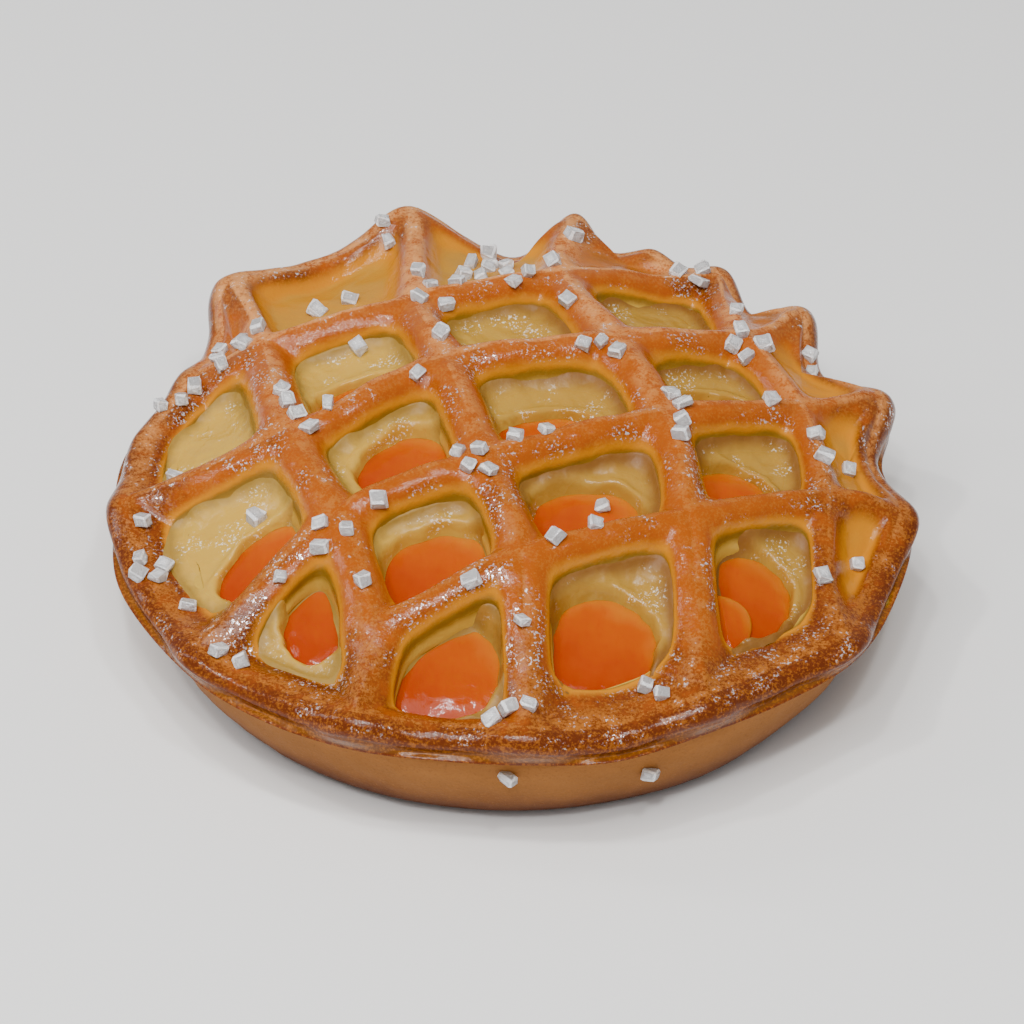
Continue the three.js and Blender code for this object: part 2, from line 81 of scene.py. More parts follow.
# The edge's ridge: angle in degrees, radius and height.
EDGE = {
    "a": (-112, 62.6, 24.0), "b": (-100, 61.4, 23.6), "c": (-87, 61.6, 24.0),
    "d": (-75, 62.8, 23.4), "e": (-61, 62.1, 24.2), "f": (-49, 63.2, 23.6),
    "g": (-37, 64.9, 22.6), "h": (-25, 64.6, 21.6), "i": (-9, 63.0, 23.0),
    "j": (5, 60.0, 22.8), "k": (15.5, 62.2, 25.4), "l": (27, 57.4, 23.8),
    "m": (38.5, 61.4, 26.0), "n": (47, 58.8, 22.8), "o": (55, 61.4, 24.4),
    "op": (60, 59.8, 25.2), "p": (66.5, 61.2, 27.5), "pq": (73.5, 59.2, 25.6),
    "q": (80, 62.2, 28.2), "r": (89, 58.8, 23.0),
    "s": (105, 63.2, 29.8), "t": (120, 62.8, 27.2), "u": (136.5, 64.2, 28.0),
    "v": (144, 60.4, 24.6), "w": (156, 56.4, 24.8), "x": (171, 60.8, 24.4),
    "y": (187, 61.4, 23.5), "z": (202, 63.4, 22.5), "aa": (221, 63.6, 22.5),
    "ab": (235, 63.4, 23.4),
}
# How far the edge stands out from its ridge, and the places where that is less.
EDGE_OVERHANG = 3.1
NARROW_OVERHANGS = {"h": 2.6, "j": 1.8}
STRIPS = (
    ("u", "A", "D", "H", "L", "a"), ("s", "B", "E", "I", "M", "c"),
    ("q", "C", "F", "J", "N", "e"), ("o", "G", "K", "P", "g"),
    ("w", "A", "B", "C", "o"), ("y", "D", "E", "F", "G", "m"),
    ("aa", "H", "I", "J", "K", "k"), ("L", "M", "N", "P", "i"),
)
# The open wells: half a strip's width there, and how much wider the lattice's edge is. A strip's back half is
# slimmer than its front half.
WELLS = {
    "AD": (4.4, 0.0), "CFG": (4.0, 1.5), "ABDE": (4.0, 0.0), "BCEF": (4.0, 0.0), "DEHI": (3.8, 0.0),
    "EFIJ": (3.9, 0.0), "FGJK": (3.9, 0.0), "HILM": (3.7, 0.0), "IJMN": (3.7, 0.0),
    "JKNP": (3.4, 0.0), "DH": (4.2, 1.5), "HL": (4.0, 2.0), "LM": (3.6, -0.2), "MN": (3.7, 5.0),
    "NP": (3.3, 3.5),
}
BACK_SLIM = 1.3
# Where the dough has closed up at the edge, and how deep it dips there.
WEBS = {"A": 1.2, "C": 1.2, "G": 1.2, "AB": 4.5, "BC": 3.6, "GK": 2.4, "KP": 3.2, "P": 2.8}
# The apricots: node, well, middle in plan, half length, half breadth, turn in degrees, raised by.
APRICOTS = (
    ("apricot_01", "ABDE", -23.5, 8.6, 8.4, 7.6, 30, 0.0),
    ("apricot_02", "DH", -36.5, -24.8, 9.5, 7.1, 39, 0.0),
    ("apricot_03", "DEHI", -15.2, -8.2, 9.0, 8.2, 45, 0.0),
    ("apricot_04", "EFIJ", 6.5, -3.2, 9.6, 8.2, 15, 0.0),
    ("apricot_05", "FGJK", 33.0, 6.8, 8.0, 7.0, 25, 0.0),
    ("apricot_06", "HL", -27.8, -36.4, 8.0, 7.2, 70, 0.0),
    ("apricot_07", "HILM", -10.5, -31.5, 9.2, 8.6, 20, 0.0),
    ("apricot_08", "IJMN", 12.8, -21.4, 9.2, 8.4, 10, 0.0),
    ("apricot_09", "JKNP", 34.8, -12.6, 8.0, 7.4, 20, 0.0),
    ("apricot_10", "LM", -9.7, -48.7, 9.3, 7.8, 35, 0.0),
    ("apricot_11", "MN", 14.4, -44.0, 8.9, 8.2, 70, 0.0),
    ("apricot_12", "NP", 36.4, -31.0, 8.4, 7.6, 60, 0.0),
    ("apricot_13", "NP", 33.6, -37.6, 5.2, 4.2, 70, 0.5),
)
NET_SHIFT = (0.085, 0.495)
CROWN, CREST_FALL, CREST_RADIUS, CREST_POWER = 39.0, 14.7, 62.0, 2.5
CORNER_SOFTNESS = 1.7
BISECTIONS = 24
BASE_RADIUS, BASE_FRONT, BASE_SIDES, BASE_RIGHT = 60.6, 1.6, 0.8, 0.8
BELLY_HEIGHT, BELLY_REACH, BASE_TOP, BASE_FLOOR = 16.0, 35.0, 18.6, 9.0
WALL_SHARE = 0.955
CUSTARD_CROWN, CUSTARD_FALL, CUSTARD_POWER = 31.7, 12.0, 2.6
REST_GAP = 0.4
# The visible custard: how far it runs under the strips, its cove's breadth and the most of the wall that it
# climbs, and its hollow under an apricot.
CUSTARD_TUCK, COVE_BREADTH, COVE_SHARE, HOLLOW_DEPTH = 1.0, 1.9, 0.45, 3.0
# The apricots seem larger than their solids by this share, with squarer outlines of this power.
FRUIT_GROWTH, FRUIT_POWER = 1.05, 2.35
# The sugar: mean side, variation, chipping, tilt, spacing, sink, and how it is scattered.
GRAIN, GRAIN_VARIATION, GRAIN_CHIP, GRAIN_TILT = 2.35, 0.2, 0.22, 0.45
GRAIN_SPACING, GRAIN_SINK, GRAIN_REACH, GRAIN_ROUGHNESS = 2.9, 0.55, 0.6, 0.2
GRAIN_TRIES, LOOSE_TRIES, LOOSE_GRAINS = 12, 2000, 26
GRAIN_FLATNESS = (1.2, 1.05, 0.85)
CLUSTERS = (
    (-46, 27, 7, 5.0), (-31, -1, 6, 3.6), (-21, 58, 4, 2.6), (-4, 49, 7, 5.0), (31, 50, 4, 3.4),
    (3, 5, 3, 4.0), (3, -6, 8, 3.6), (11, -2, 3, 2.8), (-4, -15, 6, 2.8), (7, -30, 4, 2.4),
    (27, 2, 4, 2.4), (28, -5, 4, 2.4), (14, 14, 4, 4.0), (40, 24, 4, 3.4), (52, 0, 5, 4.0),
    (-56, 20, 3, 4.0), (-57, -22, 4, 3.0), (-28, -27, 3, 3.0), (-44, -45, 2, 3.0), (-2, -57, 3, 2.6),
    (22, -52, 3, 2.6), (48, -28, 4, 3.0), (-36, 8, 4, 3.6), (-12, 34, 3, 5.0),
)
# Grains that fell into the wells, in plan, and grains that stick to the base's front, by x and height.
FALLEN_GRAINS = ((-54.5, 1.0), (-50.5, -30.5), (-40.3, -15.0), (15.1, -16.5), (-24.8, 24.5))
SIDE_GRAINS = ((0.0, 14.0), (22.1, 11.1))
# Sections of a strip's half: share of the way from ridge to wall, and share of its height fallen.
PLAIN_SECTION = ((0, 0), (0.58, 0.09), (0.91, 0.32), (1, 0.6), (0.84, 1), (0, 1))
RIM_SECTION = (
    (0, 0), (0.22, 0.008), (0.42, 0.032), (0.6, 0.08), (0.76, 0.155), (0.9, 0.27), (0.985, 0.4),
    (1.0, 0.5), (0.965, 0.58), (0.93, 0.68), (0.93, 0.8), (0.97, 0.92), (1.04, 1.0),
)
# Past the wall, each further share of 1 is the length of the wall's foot, which runs out over the custard.
BAKED_SECTION = (
    (0, 0), (0.2, 0.014), (0.4, 0.055), (0.58, 0.12), (0.74, 0.215), (0.87, 0.33), (0.96, 0.46),
    (1.02, 0.6), (1.14, 0.73), (1.36, 0.86), (1.66, 0.95), (2.0, 1.03), (2.2, 1.16),
)
# The wall's foot: its least and greatest length, its room from an apricot, and the ridge's points that it is
# evened over on either side.
FOOT_LEAST, FOOT_MOST, FOOT_CLEAR, FOOT_EVENING = 0.3, 3.0, 1.0, 5
PLAIN_WEB = ((0, 0), (0.3, 0.2), (0.6, 0.7), (1, 1))
# How much the edge swells where a strip ends on it, over what angle and between which radii, how much of that
# goes upward, and the share of the swelling that counts as none.
LOBE_SWELL, LOBE_HALF_ANGLE, LOBE_RADII, LOBE_LIFT, LOBE_REST = 2.0, 0.1, (50, 62), 0.8, 0.45
# A baked web: its rows, where its dip starts and ends in from the ridges, that end at most as a share of the
# greatest distance, and the share of its rows over which the dip fades at the ridges.
POOL_ROWS, POOL_START, POOL_END, POOL_END_SHARE, POOL_RIDGE_SHARE = 26, 0.6, 5.2, 0.9, 0.2
# The dip that gives a web its full colour, and how far its crust then counts as fallen.
WEB_FULL_DIP, WEB_FALLEN = 3.6, 0.4
# Points along a strip's span and along one of the edge, for the solids' own facets and for two of the pieces.
SOLID_STEPS, CUSTARD_STEPS, APRICOT_STEPS = (4, 3), (24, 18), (10, 7)
# Ripples: waves in each, the spread of their lengths, and the share of them that gives a height of 1.
WAVES, WAVE_SPREAD, WAVE_SHARE = 7, (0.7, 1.6), 0.6
# Ripples by height, length and seed: the dough's along x, y and z, and the other pieces'.
DOUGH_RIPPLES = (((0.7, 17, 3),), ((0.7, 15, 4),), ((0.8, 11, 5), (0.35, 4.5, 6)))
COVE_RIPPLES, CUSTARD_RIPPLES = ((0.25, 9, 22),), ((0.3, 7, 21), (0.08, 2.2, 23))
OUTLINE_RIPPLES, APRICOT_RIPPLES = ((0.35, 3.5, 24), (0.3, 8, 25)), ((0.12, 6, 31),)
BASE_RIPPLES = ((0.30, 16, 41), (0.10, 4, 42))
# An apricot: its rows and points around, how far its edge lies under the custard's even height, its depth,
# and how it is pressed down under the strips.
APRICOT_ROWS, APRICOT_AROUND, APRICOT_SUNK, APRICOT_DEPTH = 26, 120, 1.3, 3.4
PRESSED_SUNK, PRESSED_RISE, PRESSED_ZONE = 0.5, 3, (-0.5, 3.5)
# The base's profile as shares of its radius and heights: the foot, the top of the wall and the inside. The
# belly lies between, from a height and in a number of rows.
BASE_FOOT = ((0, 0), (0.4, 0), (0.8, 0), (0.85, 0), (0.868, 0.12), (0.882, 0.4))
BASE_LIP = ((0.996, 16.8), (0.99, 17.5), (0.978, 18.2), (0.963, BASE_TOP), (WALL_SHARE, BASE_TOP))
BASE_INSIDE = ((0.92, 12), (0.82, BASE_FLOOR), (0.4, BASE_FLOOR), (0, BASE_FLOOR))
BELLY_START, BELLY_ROWS, BASE_AROUND = 0.9, 34, 360


# ---- forms that several pieces share ----


def base_radius(angle):
    """The base's widest radius: a circle that stands out at the front, at its two sides and on the right."""
    return (BASE_RADIUS - BASE_FRONT * np.sin(angle) - BASE_SIDES * np.sin(3 * angle)
            + BASE_RIGHT * np.cos(angle))


def crest_height(radius):
    """The lattice's height: the crown less a power of the radius."""
    return CROWN - CREST_FALL * (radius / CREST_RADIUS) ** CREST_POWER


def custard_height(x, y):
    """The custard's height: its crown less a power of the share of the way to the base's wall."""
    share = np.hypot(x, y) / (WALL_SHARE * base_radius(np.arctan2(y, x)))
    return CUSTARD_CROWN - CUSTARD_FALL * share ** CUSTARD_POWER


def underside_height(x, y):
    """The lattice's underside: just over the custard, and at its edge just over the base's wall."""
    return np.maximum(custard_height(x, y), BASE_TOP) + REST_GAP


def ripple(points, length, seed):
    """A smooth, uneven field from about -1 to 1: a sum of sine waves in random directions, round a length."""
    random = np.random.default_rng(seed)
    directions = random.normal(size=(WAVES, 3))
    directions /= np.linalg.norm(directions, axis=1)[:, None]
    numbers = 2 * math.pi / (length * random.uniform(*WAVE_SPREAD, WAVES))
    phases = random.uniform(0, 2 * math.pi, WAVES)
    return np.sin(points @ (directions * numbers[:, None]).T + phases).sum(-1) / (WAVE_SHARE * WAVES)


def ripples(points, waves):
    """Ripples added up, each of a height, a length and a seed."""
    return sum(height * ripple(points, length, seed) for height, length, seed in waves)


def smooth(low, high, value):
    """0 below low, 1 above high, and a smooth cubic between."""
    t = np.clip((value - low) / (high - low), 0, 1)
    return t * t * (3 - 2 * t)


def spline(points, steps, closed):
    """A uniform Catmull-Rom curve: each span is the cubic through its two ends, with slopes of half the chord
    between their neighbours. The ends of an open curve go straight on."""
    p = np.asarray(points, float)
    if closed:
        p = np.vstack([p[-1:], p, p[:2]])
    else:
        p = np.vstack([2 * p[0] - p[1], p, 2 * p[-1] - p[-2]])
    a, b, c, d = (q[:, None] for q in (p[:-3], p[1:-2], p[2:-1], p[3:]))
    t = (np.arange(steps) / steps)[None, :, None]
    spans = 0.5 * (2 * b + (c - a) * t + (2 * a - 5 * b + 4 * c - d) * t**2
                   + (3 * b - a - 3 * c + d) * t**3)
    curve = spans.reshape(-1, p.shape[1])
    return curve if closed else np.vstack([curve, p[-2]])


# ---- the lattice's net of ridges ----


class Net:
    """The ridges of the lattice, and the loops of ridge round its wells and webs."""

    def __init__(self, span_steps, edge_steps):
        self.edge_steps = edge_steps
        self.stretches = []
        self.places = self._places()
        self._add_strips(span_steps)
        self._add_edge()
        self.loops = [loop for loop in self._walk() if self._area(loop) > 0]

    def _places(self):
        """Crossings lie at the crest's height, and the edge's points at their own."""
        places = {}
        for name, (x, y) in CROSSINGS.items():
            places[name] = np.array((x, y, crest_height(math.hypot(x, y))))
        for name, (degrees, radius, height) in EDGE.items():
            angle = math.radians(degrees)
            places[name] = np.array((radius * math.cos(angle), radius * math.sin(angle), height))
        return {name: place + (*NET_SHIFT, 0) for name, place in places.items()}

    def _add(self, start, end, points, is_edge):
        self.stretches.append({"from": start, "to": end, "points": points, "edge": is_edge})
        self.stretches.append({"from": end, "to": start, "points": points[::-1], "edge": is_edge})

    def _add_strips(self, steps):
        """Each strip is a spline through its crossings, cut into the stretches between them."""
        for strip in STRIPS:
            curve = spline([self.places[name] for name in strip], steps, False)
            for i in range(len(strip) - 1):
                self._add(strip[i], strip[i + 1], curve[i * steps:(i + 1) * steps + 1], False)

    def _add_edge(self):
        """The edge is a closed spline, cut where strips run into it."""
        names, steps = list(EDGE), self.edge_steps
        self.edge = spline([self.places[name] for name in names], steps, True)
        overhangs = [(NARROW_OVERHANGS.get(name, EDGE_OVERHANG),) for name in names]
        self.overhang = spline(overhangs, steps, True)[:, 0]
        ends = {strip[0] for strip in STRIPS} | {strip[-1] for strip in STRIPS}
        junctions = [i for i, name in enumerate(names) if name in ends]
        for i, j in zip(junctions, junctions[1:] + [junctions[0] + len(names)]):
            run = self.edge[np.arange(i * steps, j * steps + 1) % len(self.edge)]
            self._add(names[i], names[j % len(names)], run, True)

    def _walk(self):
        """Follows the ridges round each face of the net: at a junction it takes the next one clockwise."""
        leaving = {}
        for stretch in self.stretches:
            leaving.setdefault(stretch["from"], []).append(stretch)
        for around in leaving.values():
            around.sort(key=lambda s: math.atan2(*(s["points"][1] - s["points"][0])[1::-1]))
        used, loops = set(), []
        for start in self.stretches:
            loop, stretch = [], start
            while id(stretch) not in used:
                used.add(id(stretch))
                loop.append(stretch)
                around = leaving[stretch["to"]]
                back = next(i for i, other in enumerate(around)
                            if np.array_equal(other["points"], stretch["points"][::-1]))
                stretch = around[back - 1]
            if loop:
                loops.append(loop)
        return loops

    @staticmethod
    def _area(loop):
        x, y = np.vstack([s["points"][:-1] for s in loop])[:, :2].T
        return (x * np.roll(y, -1) - np.roll(x, -1) * y).sum() / 2

    @staticmethod
    def name(loop):
        """The crossings on a loop, in alphabetical order."""
        return "".join(sorted({s["from"] for s in loop} & set(CROSSINGS)))


class Well:
    """A loop of ridge, its middle, and the half strip's width there."""

    def __init__(self, loop, margin=0.0, rim=0.0):
        self.loop, self.margin, self.rim = loop, margin, rim
        self.ridge = np.vstack([s["points"][:-1] for s in loop])
        self.middle = self.ridge.mean(0)

    def shift(self, stretch):
        """How much farther out than its ridge a side counts as lying: less at the edge, and more along the
        well's front, where the loop, which runs anticlockwise, goes to the right."""
        if stretch["edge"]:
            return -self.rim
        dx, dy = (stretch["points"][-1] - stretch["points"][0])[:2]
        return BACK_SLIM if dx > 0.8 * abs(dy) else 0.0

    def inside(self, x, y):
        """How far a place in plan lies inside the well's wall: the distance to the ridges with each side's
        shift, blended so that lines of equal distance have round corners, less half the strip."""
        shape = np.shape(x)
        p = np.stack([np.ravel(x), np.ravel(y)], -1)
        total = 0
        for stretch in self.loop:
            a = stretch["points"][:-1, :2]
            d = stretch["points"][1:, :2] - a
            t = np.einsum("pik,ik->pi", p[:, None] - a, d) / (d * d).sum(1)
            nearest = a + np.clip(t, 0, 1)[..., None] * d
            gap = np.linalg.norm(p[:, None] - nearest, axis=2).min(1)
            total = total + np.exp(-(gap + self.shift(stretch)) / CORNER_SOFTNESS)
        return (-CORNER_SOFTNESS * np.log(total)).reshape(shape) - self.margin

    def reach(self, start, end, depth):
        """For each pair of places, the share of the way from start, outside, to end, inside, at which the
        place is depth inside the wall. It is found by halving."""
        near, far = np.zeros(len(start)), np.ones(len(start))
        for _ in range(BISECTIONS):
            half = (near + far) / 2
            x, y = (start + (end - start) * half[:, None])[:, :2].T
            outside = self.inside(x, y) < depth
            near, far = np.where(outside, half, near), np.where(outside, far, half)
        return near

    def wall(self, depth=0.0):
        """The wall's point opposite each point of the ridge, toward the middle."""
        end = np.broadcast_to(self.middle, self.ridge.shape)
        return self.ridge + (end - self.ridge) * self.reach(self.ridge, end, depth)[:, None]


def wells_of(net):
    return {net.name(loop): Well(loop, *WELLS[net.name(loop)])
            for loop in net.loops if net.name(loop) in WELLS}


def half_strip(ridge, side, section):
    """Rows from the ridge round a strip's side: across by the section's share of the way to the side, and
    down by its share of the height over the underside."""
    out, fallen = (np.asarray(section, float).T)[..., None]
    xy = ridge[None, :, :2] + (side - ridge)[None, :, :2] * out[..., None]
    z = ridge[:, 2] + (underside_height(xy[..., 0], xy[..., 1]) - ridge[:, 2]) * fallen
    return np.dstack([xy, z])


def web_rows(loop, dip, section):
    """Rows from the ridges to the middle of a web, sinking by its dip."""
    well = Well(loop)
    share, dipped = np.asarray(section, float).T
    rows = well.ridge + (well.middle - well.ridge) * share[:, None, None]
    rows[..., 2] -= dip * dipped[:, None]
    return rows


def pool_rows(loop, dip):
    """Rows over a web as it bakes: even from the ridges to the middle, less the dip by a smooth step of the
    distance from the ridges. Returns them with how far each has dipped, from 0 to 1."""
    well = Well(loop)
    share = np.linspace(0, 1, POOL_ROWS)[:, None, None]
    rows = well.ridge + (well.middle - well.ridge) * share
    distance = well.inside(rows[..., 0], rows[..., 1])
    dipped = (smooth(POOL_START, min(POOL_END, POOL_END_SHARE * distance.max()), distance)
              * smooth(0, POOL_RIDGE_SHARE, share[..., 0]))
    rows[..., 2] -= dip * dipped
    return rows, dipped


def outer_side(net):
    """The point of the edge's outer side opposite each point of its ridge: farther out by the overhang."""
    side = net.edge.copy()
    radius = np.hypot(*net.edge[:, :2].T)
    side[:, :2] *= (1 + net.overhang / radius)[:, None]
    return side


# ---- meshes ----


def triangles_of(rows):
    """Two triangles for each cell of a grid of rows; each row closes on itself."""
    count, around = rows.shape[:2]
    grid = np.arange(count * around).reshape(count, around)
    after = np.roll(grid, -1, axis=1)
    p, q, r, s = grid[:-1], after[:-1], after[1:], grid[1:]
    return np.concatenate([np.stack([p, q, r], -1).reshape(-1, 3), np.stack([p, r, s], -1).reshape(-1, 3)])


def weld(points, faces, attributes):
    """Merges points that coincide to a hundredth of a millimetre, and drops the triangles this closes up."""
    keys = np.round(points * 100).astype(np.int64)
    _, first, back = np.unique(keys, axis=0, return_index=True, return_inverse=True)
    faces = back.reshape(-1)[faces]
    a, b, c = faces.T
    faces = faces[(a != b) & (b != c) & (c != a)]
    return points[first], faces, {name: values[first] for name, values in attributes.items()}


def add_mesh(name, points, faces, attributes, material):
    """Puts arrays of points in millimetres and triangles into a new object, smooth shaded."""
    mesh = bpy.data.meshes.new(name)
    mesh.vertices.add(len(points))
    mesh.vertices.foreach_set("co", (np.asarray(points) * MM).astype(np.float32).ravel())
    mesh.loops.add(faces.size)
    mesh.loops.foreach_set("vertex_index", faces.astype(np.int32).ravel())
    mesh.polygons.add(len(faces))
    mesh.polygons.foreach_set("loop_start", np.arange(0, faces.size, 3, dtype=np.int32))
    mesh.polygons.foreach_set("loop_total", np.full(len(faces), 3, np.int32))
    mesh.update(calc_edges=True)
    mesh.validate()
    mesh.polygons.foreach_set("use_smooth", np.ones(len(mesh.polygons), bool))
    for label, values in attributes.items():
        layer = mesh.attributes.new(label, "FLOAT", "POINT")
        layer.data.foreach_set("value", np.asarray(values, np.float32))
    piece = bpy.data.objects.new(name, mesh)
    bpy.context.scene.collection.objects.link(piece)
    mesh.materials.append(material)
    return piece


def join_sheets(sheets):
    """Joins grids of rows, each with attributes of the same shape, into one welded set of arrays."""
    points, faces, attributes, start = [], [], {}, 0
    for rows, values in sheets:
        faces.append(triangles_of(rows) + start)
        points.append(rows.reshape(-1, 3))
        start += rows.shape[0] * rows.shape[1]
        for name, value in values.items():
            attributes.setdefault(name, []).append(np.broadcast_to(value, rows.shape[:2]).ravel())
    return weld(np.vstack(points), np.vstack(faces),
                {name: np.concatenate(values) for name, values in attributes.items()})


# ---- shader expressions ----


class Link:
    """A number in a material. Operators on it add Math nodes."""

    def __init__(self, finish, socket):
        self.finish, self.socket = finish, socket

    def _math(self, operation, *values):
        return self.finish.node("ShaderNodeMath", {"operation": operation}, *values)

    def __add__(self, other):
        return self._math("ADD", self, other)

    __radd__ = __add__

    def __mul__(self, other):
        return self._math("MULTIPLY", self, other)

    __rmul__ = __mul__

    def __sub__(self, other):
        return self._math("SUBTRACT", self, other)

    def __rsub__(self, other):
        return self._math("SUBTRACT", other, self)

    def rise(self, low, high):
        """0 below low, 1 above high, smooth between."""
        return self.finish.node("ShaderNodeMapRange", {"interpolation_type": "SMOOTHSTEP"},
                                self, low, high, 0.0, 1.0)


class Finish:
    """A material with one Principled surface, and the nodes that colour it."""

    def __init__(self, name, **constants):
        self.material = bpy.data.materials.new(name)
        self.material.use_nodes = True
        self.nodes = self.material.node_tree.nodes
        self.links = self.material.node_tree.links
        self.surface = self.nodes["Principled BSDF"]
        for socket, value in constants.items():
            self.surface.inputs[socket.replace("_", " ")].default_value = value
        self.place = self.node("ShaderNodeTexCoord", output="Object")

    def node(self, kind, settings=None, *values, output=0, **named):
        """Adds a node, sets its settings, then its sockets in order or by name, and returns an output."""
        node = self.nodes.new(kind)
        for key, value in (settings or {}).items():
            setattr(node, key, value)
        for key, value in [*enumerate(values), *named.items()]:
            socket = node.inputs[key.replace("_", " ") if isinstance(key, str) else key]
            if isinstance(value, Link):
                self.links.new(value.socket, socket)
            elif value is not None:
                socket.default_value = value
        return Link(self, node.outputs[output])

    def attribute(self, name):
        return self.node("ShaderNodeAttribute", {"attribute_name": name}, output="Fac")

    def along(self, axis):
        """Millimetres along an axis of the tart."""
        return self.node("ShaderNodeSeparateXYZ", None, self.place, output=axis) * (1 / MM)

    def mix(self, factor, low, high):
        """A colour that goes from low to high."""
        node = self.nodes.new("ShaderNodeMix")
        node.data_type = "RGBA"
        for key, value in ((0, factor), (6, low), (7, high)):
            if isinstance(value, Link):
                self.links.new(value.socket, node.inputs[key])
            else:
                node.inputs[key].default_value = (*value, 1)[:4] if key else value
        return Link(self, node.outputs[2])

    def noise(self, size, detail=2.0, roughness=0.5, stretch=None, seed=0.0):
        """Noise from 0 to 1 whose blots are size millimetres across, and stretched along an axis."""
        place = self.place
        if stretch or seed:
            place = self.node("ShaderNodeMapping", None, place, (seed, 1.7 * seed, -seed), (0, 0, 0),
                              stretch or (1, 1, 1))
        return self.node("ShaderNodeTexNoise", {"noise_dimensions": "3D"}, Vector=place,
                         Scale=1 / (size * MM), Detail=detail, Roughness=roughness, output="Fac")

    def set(self, socket, value):
        self.links.new(value.socket, self.surface.inputs[socket])

    def bump(self, height):
        """Roughens the surface by a height in millimetres."""
        self.set("Normal", self.node("ShaderNodeBump", None, Strength=1.0, Distance=MM, Height=height))


# ---- what a user would change ----


def colour(name, description, value):
    return FloatVectorProperty(name=name, description=description, subtype="COLOR", size=3, min=0, max=1,
                               default=value)


def length(name, description, value, most):
    """A length in millimetres, shown in the user's unit."""
    return FloatProperty(name=name, description=description, default=value * MM, min=0, max=most * MM,
                         subtype="DISTANCE", unit="LENGTH")


class TartForm(bpy.types.PropertyGroup):
    span_steps: IntProperty(name="Strip steps", description="Points along a strip between two crossings",
                            default=20, min=4, max=40)
    unevenness: length("Unevenness", "How far the baked dough strays from its even form", 0.35, 2)
    cove: length("Cove", "How far the custard climbs up the wells' walls", 3.0, 5)
    lip: length("Lip", "How far the custard stands up round an apricot", 0.5, 2)
    dome: length("Apricot dome", "How far an apricot rises in its middle", 0.7, 4)
    grain_bevel: length("Grain bevel", "How far a sugar grain's edges are cut off", 0.28, 0.6)


class TartColours(bpy.types.PropertyGroup):
    # The two tans on the ridges are partly dry bloom and partly painted sheen of a back light.
    haze: colour("Haze", "Matte, pinkish tan on top of the strips", (0.4, 0.125, 0.012))
    pale_haze: colour("Pale haze", "Matte, pale tan on the strips at the back", (0.66, 0.28, 0.085))
    amber: colour("Amber", "Glazed crust on the strips' sides", (0.33, 0.066, 0.002))
    chestnut: colour("Chestnut", "The darkest baked crust, at the edge", (0.1, 0.018, 0.003))
    gold: colour("Gold", "Thin crust at the top of a well's wall", (0.52, 0.19, 0.003))
    cream: colour("Cream", "Custard and pale dough in the wells", (0.37, 0.22, 0.03))
    biscuit: colour("Biscuit", "The side of the base", (0.28, 0.108, 0.024))
    # The colour near the table is a painted shade: a darker copy of the base's side.
    toast: colour("Toast", "The base near the table", (0.1, 0.028, 0.007))
    apricot: colour("Apricot", "Glazed fruit", (0.44, 0.068, 0.0))
    sugar: colour("Sugar", "The coarse grains", (1.0, 0.97, 0.97))
    floor: colour("Floor", "The pale floor", (0.87, 0.87, 0.87))


class TartStage(bpy.types.PropertyGroup):
    elevation: FloatProperty(name="Elevation", description="How far the camera looks down",
                             default=math.radians(40), subtype="ANGLE", unit="ROTATION")
    distance: FloatProperty(name="Distance", description="From the camera to the tart", default=0.75,
                            subtype="DISTANCE", unit="LENGTH")
    lens: FloatProperty(name="Lens", description="Focal length in millimetres", default=160.84)
    key: FloatProperty(name="Key light", description="Power of the overhead light in watts", default=4.6)
    fill: FloatProperty(name="Fill light", description="Strength of the white surroundings", default=0.42)


# ---- the lattice ----


def fine_section(section):
    """A section as a fine spline, with the underside closed at its end."""
    fine = spline(section, 3, False)
    return np.vstack([fine, (0.5, 1.0), (0.0, 1.0)])


def foot_length(well, side):
    """How far the wall's foot runs out over the custard: nearly to the closest apricot, within limits."""
    beyond = [fruit.beyond(side[:, 0], side[:, 1]) - FOOT_CLEAR for fruit in map(Fruit, APRICOTS)
              if fruit.well == well]
    room = np.min([*beyond, np.full(len(side), FOOT_MOST)], axis=0).clip(FOOT_LEAST, FOOT_MOST)
    evened = np.mean([np.roll(room, shift) for shift in range(-FOOT_EVENING, FOOT_EVENING + 1)], axis=0)
    return np.minimum(evened, room + FOOT_CLEAR)


def baked_strip(ridge, side, foot, section):
    """Rows from the ridge round a strip's side as it bakes: across by the section's share of the way to the
    wall, then on by its share of the foot, and down by its share of the height over the underside."""
    out, fallen = section.T[..., None]
    across = (side - ridge)[:, :2]
    onward = across / np.maximum(np.hypot(*across.T), 0.1)[:, None]
    xy = (ridge[:, :2] + across * np.minimum(out, 1)[..., None]
          + onward * (np.maximum(out - 1, 0) * foot)[..., None])
    z = ridge[:, 2] + (underside_height(xy[..., 0], xy[..., 1]) - ridge[:, 2]) * fallen
    return np.dstack([xy, z])


def lobe(angle):
    """Where the edge swells, from 0 to 1: a bell curve of the angle from each strip's end, added up."""
    names = {strip[i] for strip in STRIPS for i in (0, -1)} & set(EDGE)
    ends = np.radians([EDGE[name][0] for name in names])
    away = (angle[..., None] - ends + math.pi) % (2 * math.pi) - math.pi
    return np.exp(-(away / LOBE_HALF_ANGLE) ** 2).sum(-1).clip(0, 1)


def uneven(rows, fallen, amount):
    """Moves dough up and down, and a little sideways, by smooth ripples that fade toward the underside, and
    swells it outward and up where a strip's end lies on the edge."""
    shift = np.stack([ripples(rows, waves) for waves in DOUGH_RIPPLES], -1)
    fade = 1 - smooth(0.7, 1.0, np.broadcast_to(fallen, rows.shape[:2]))
    radius = np.hypot(rows[..., 0], rows[..., 1])
    bell = lobe(np.arctan2(rows[..., 1], rows[..., 0]))
    swell = LOBE_SWELL * (bell - LOBE_REST) * smooth(*LOBE_RADII, radius)
    outward = rows / np.maximum(radius, 1)[..., None] * (1, 1, 0) + (0, 0, LOBE_LIFT)
    return rows + (amount * shift + swell[..., None] * outward) * fade[..., None]


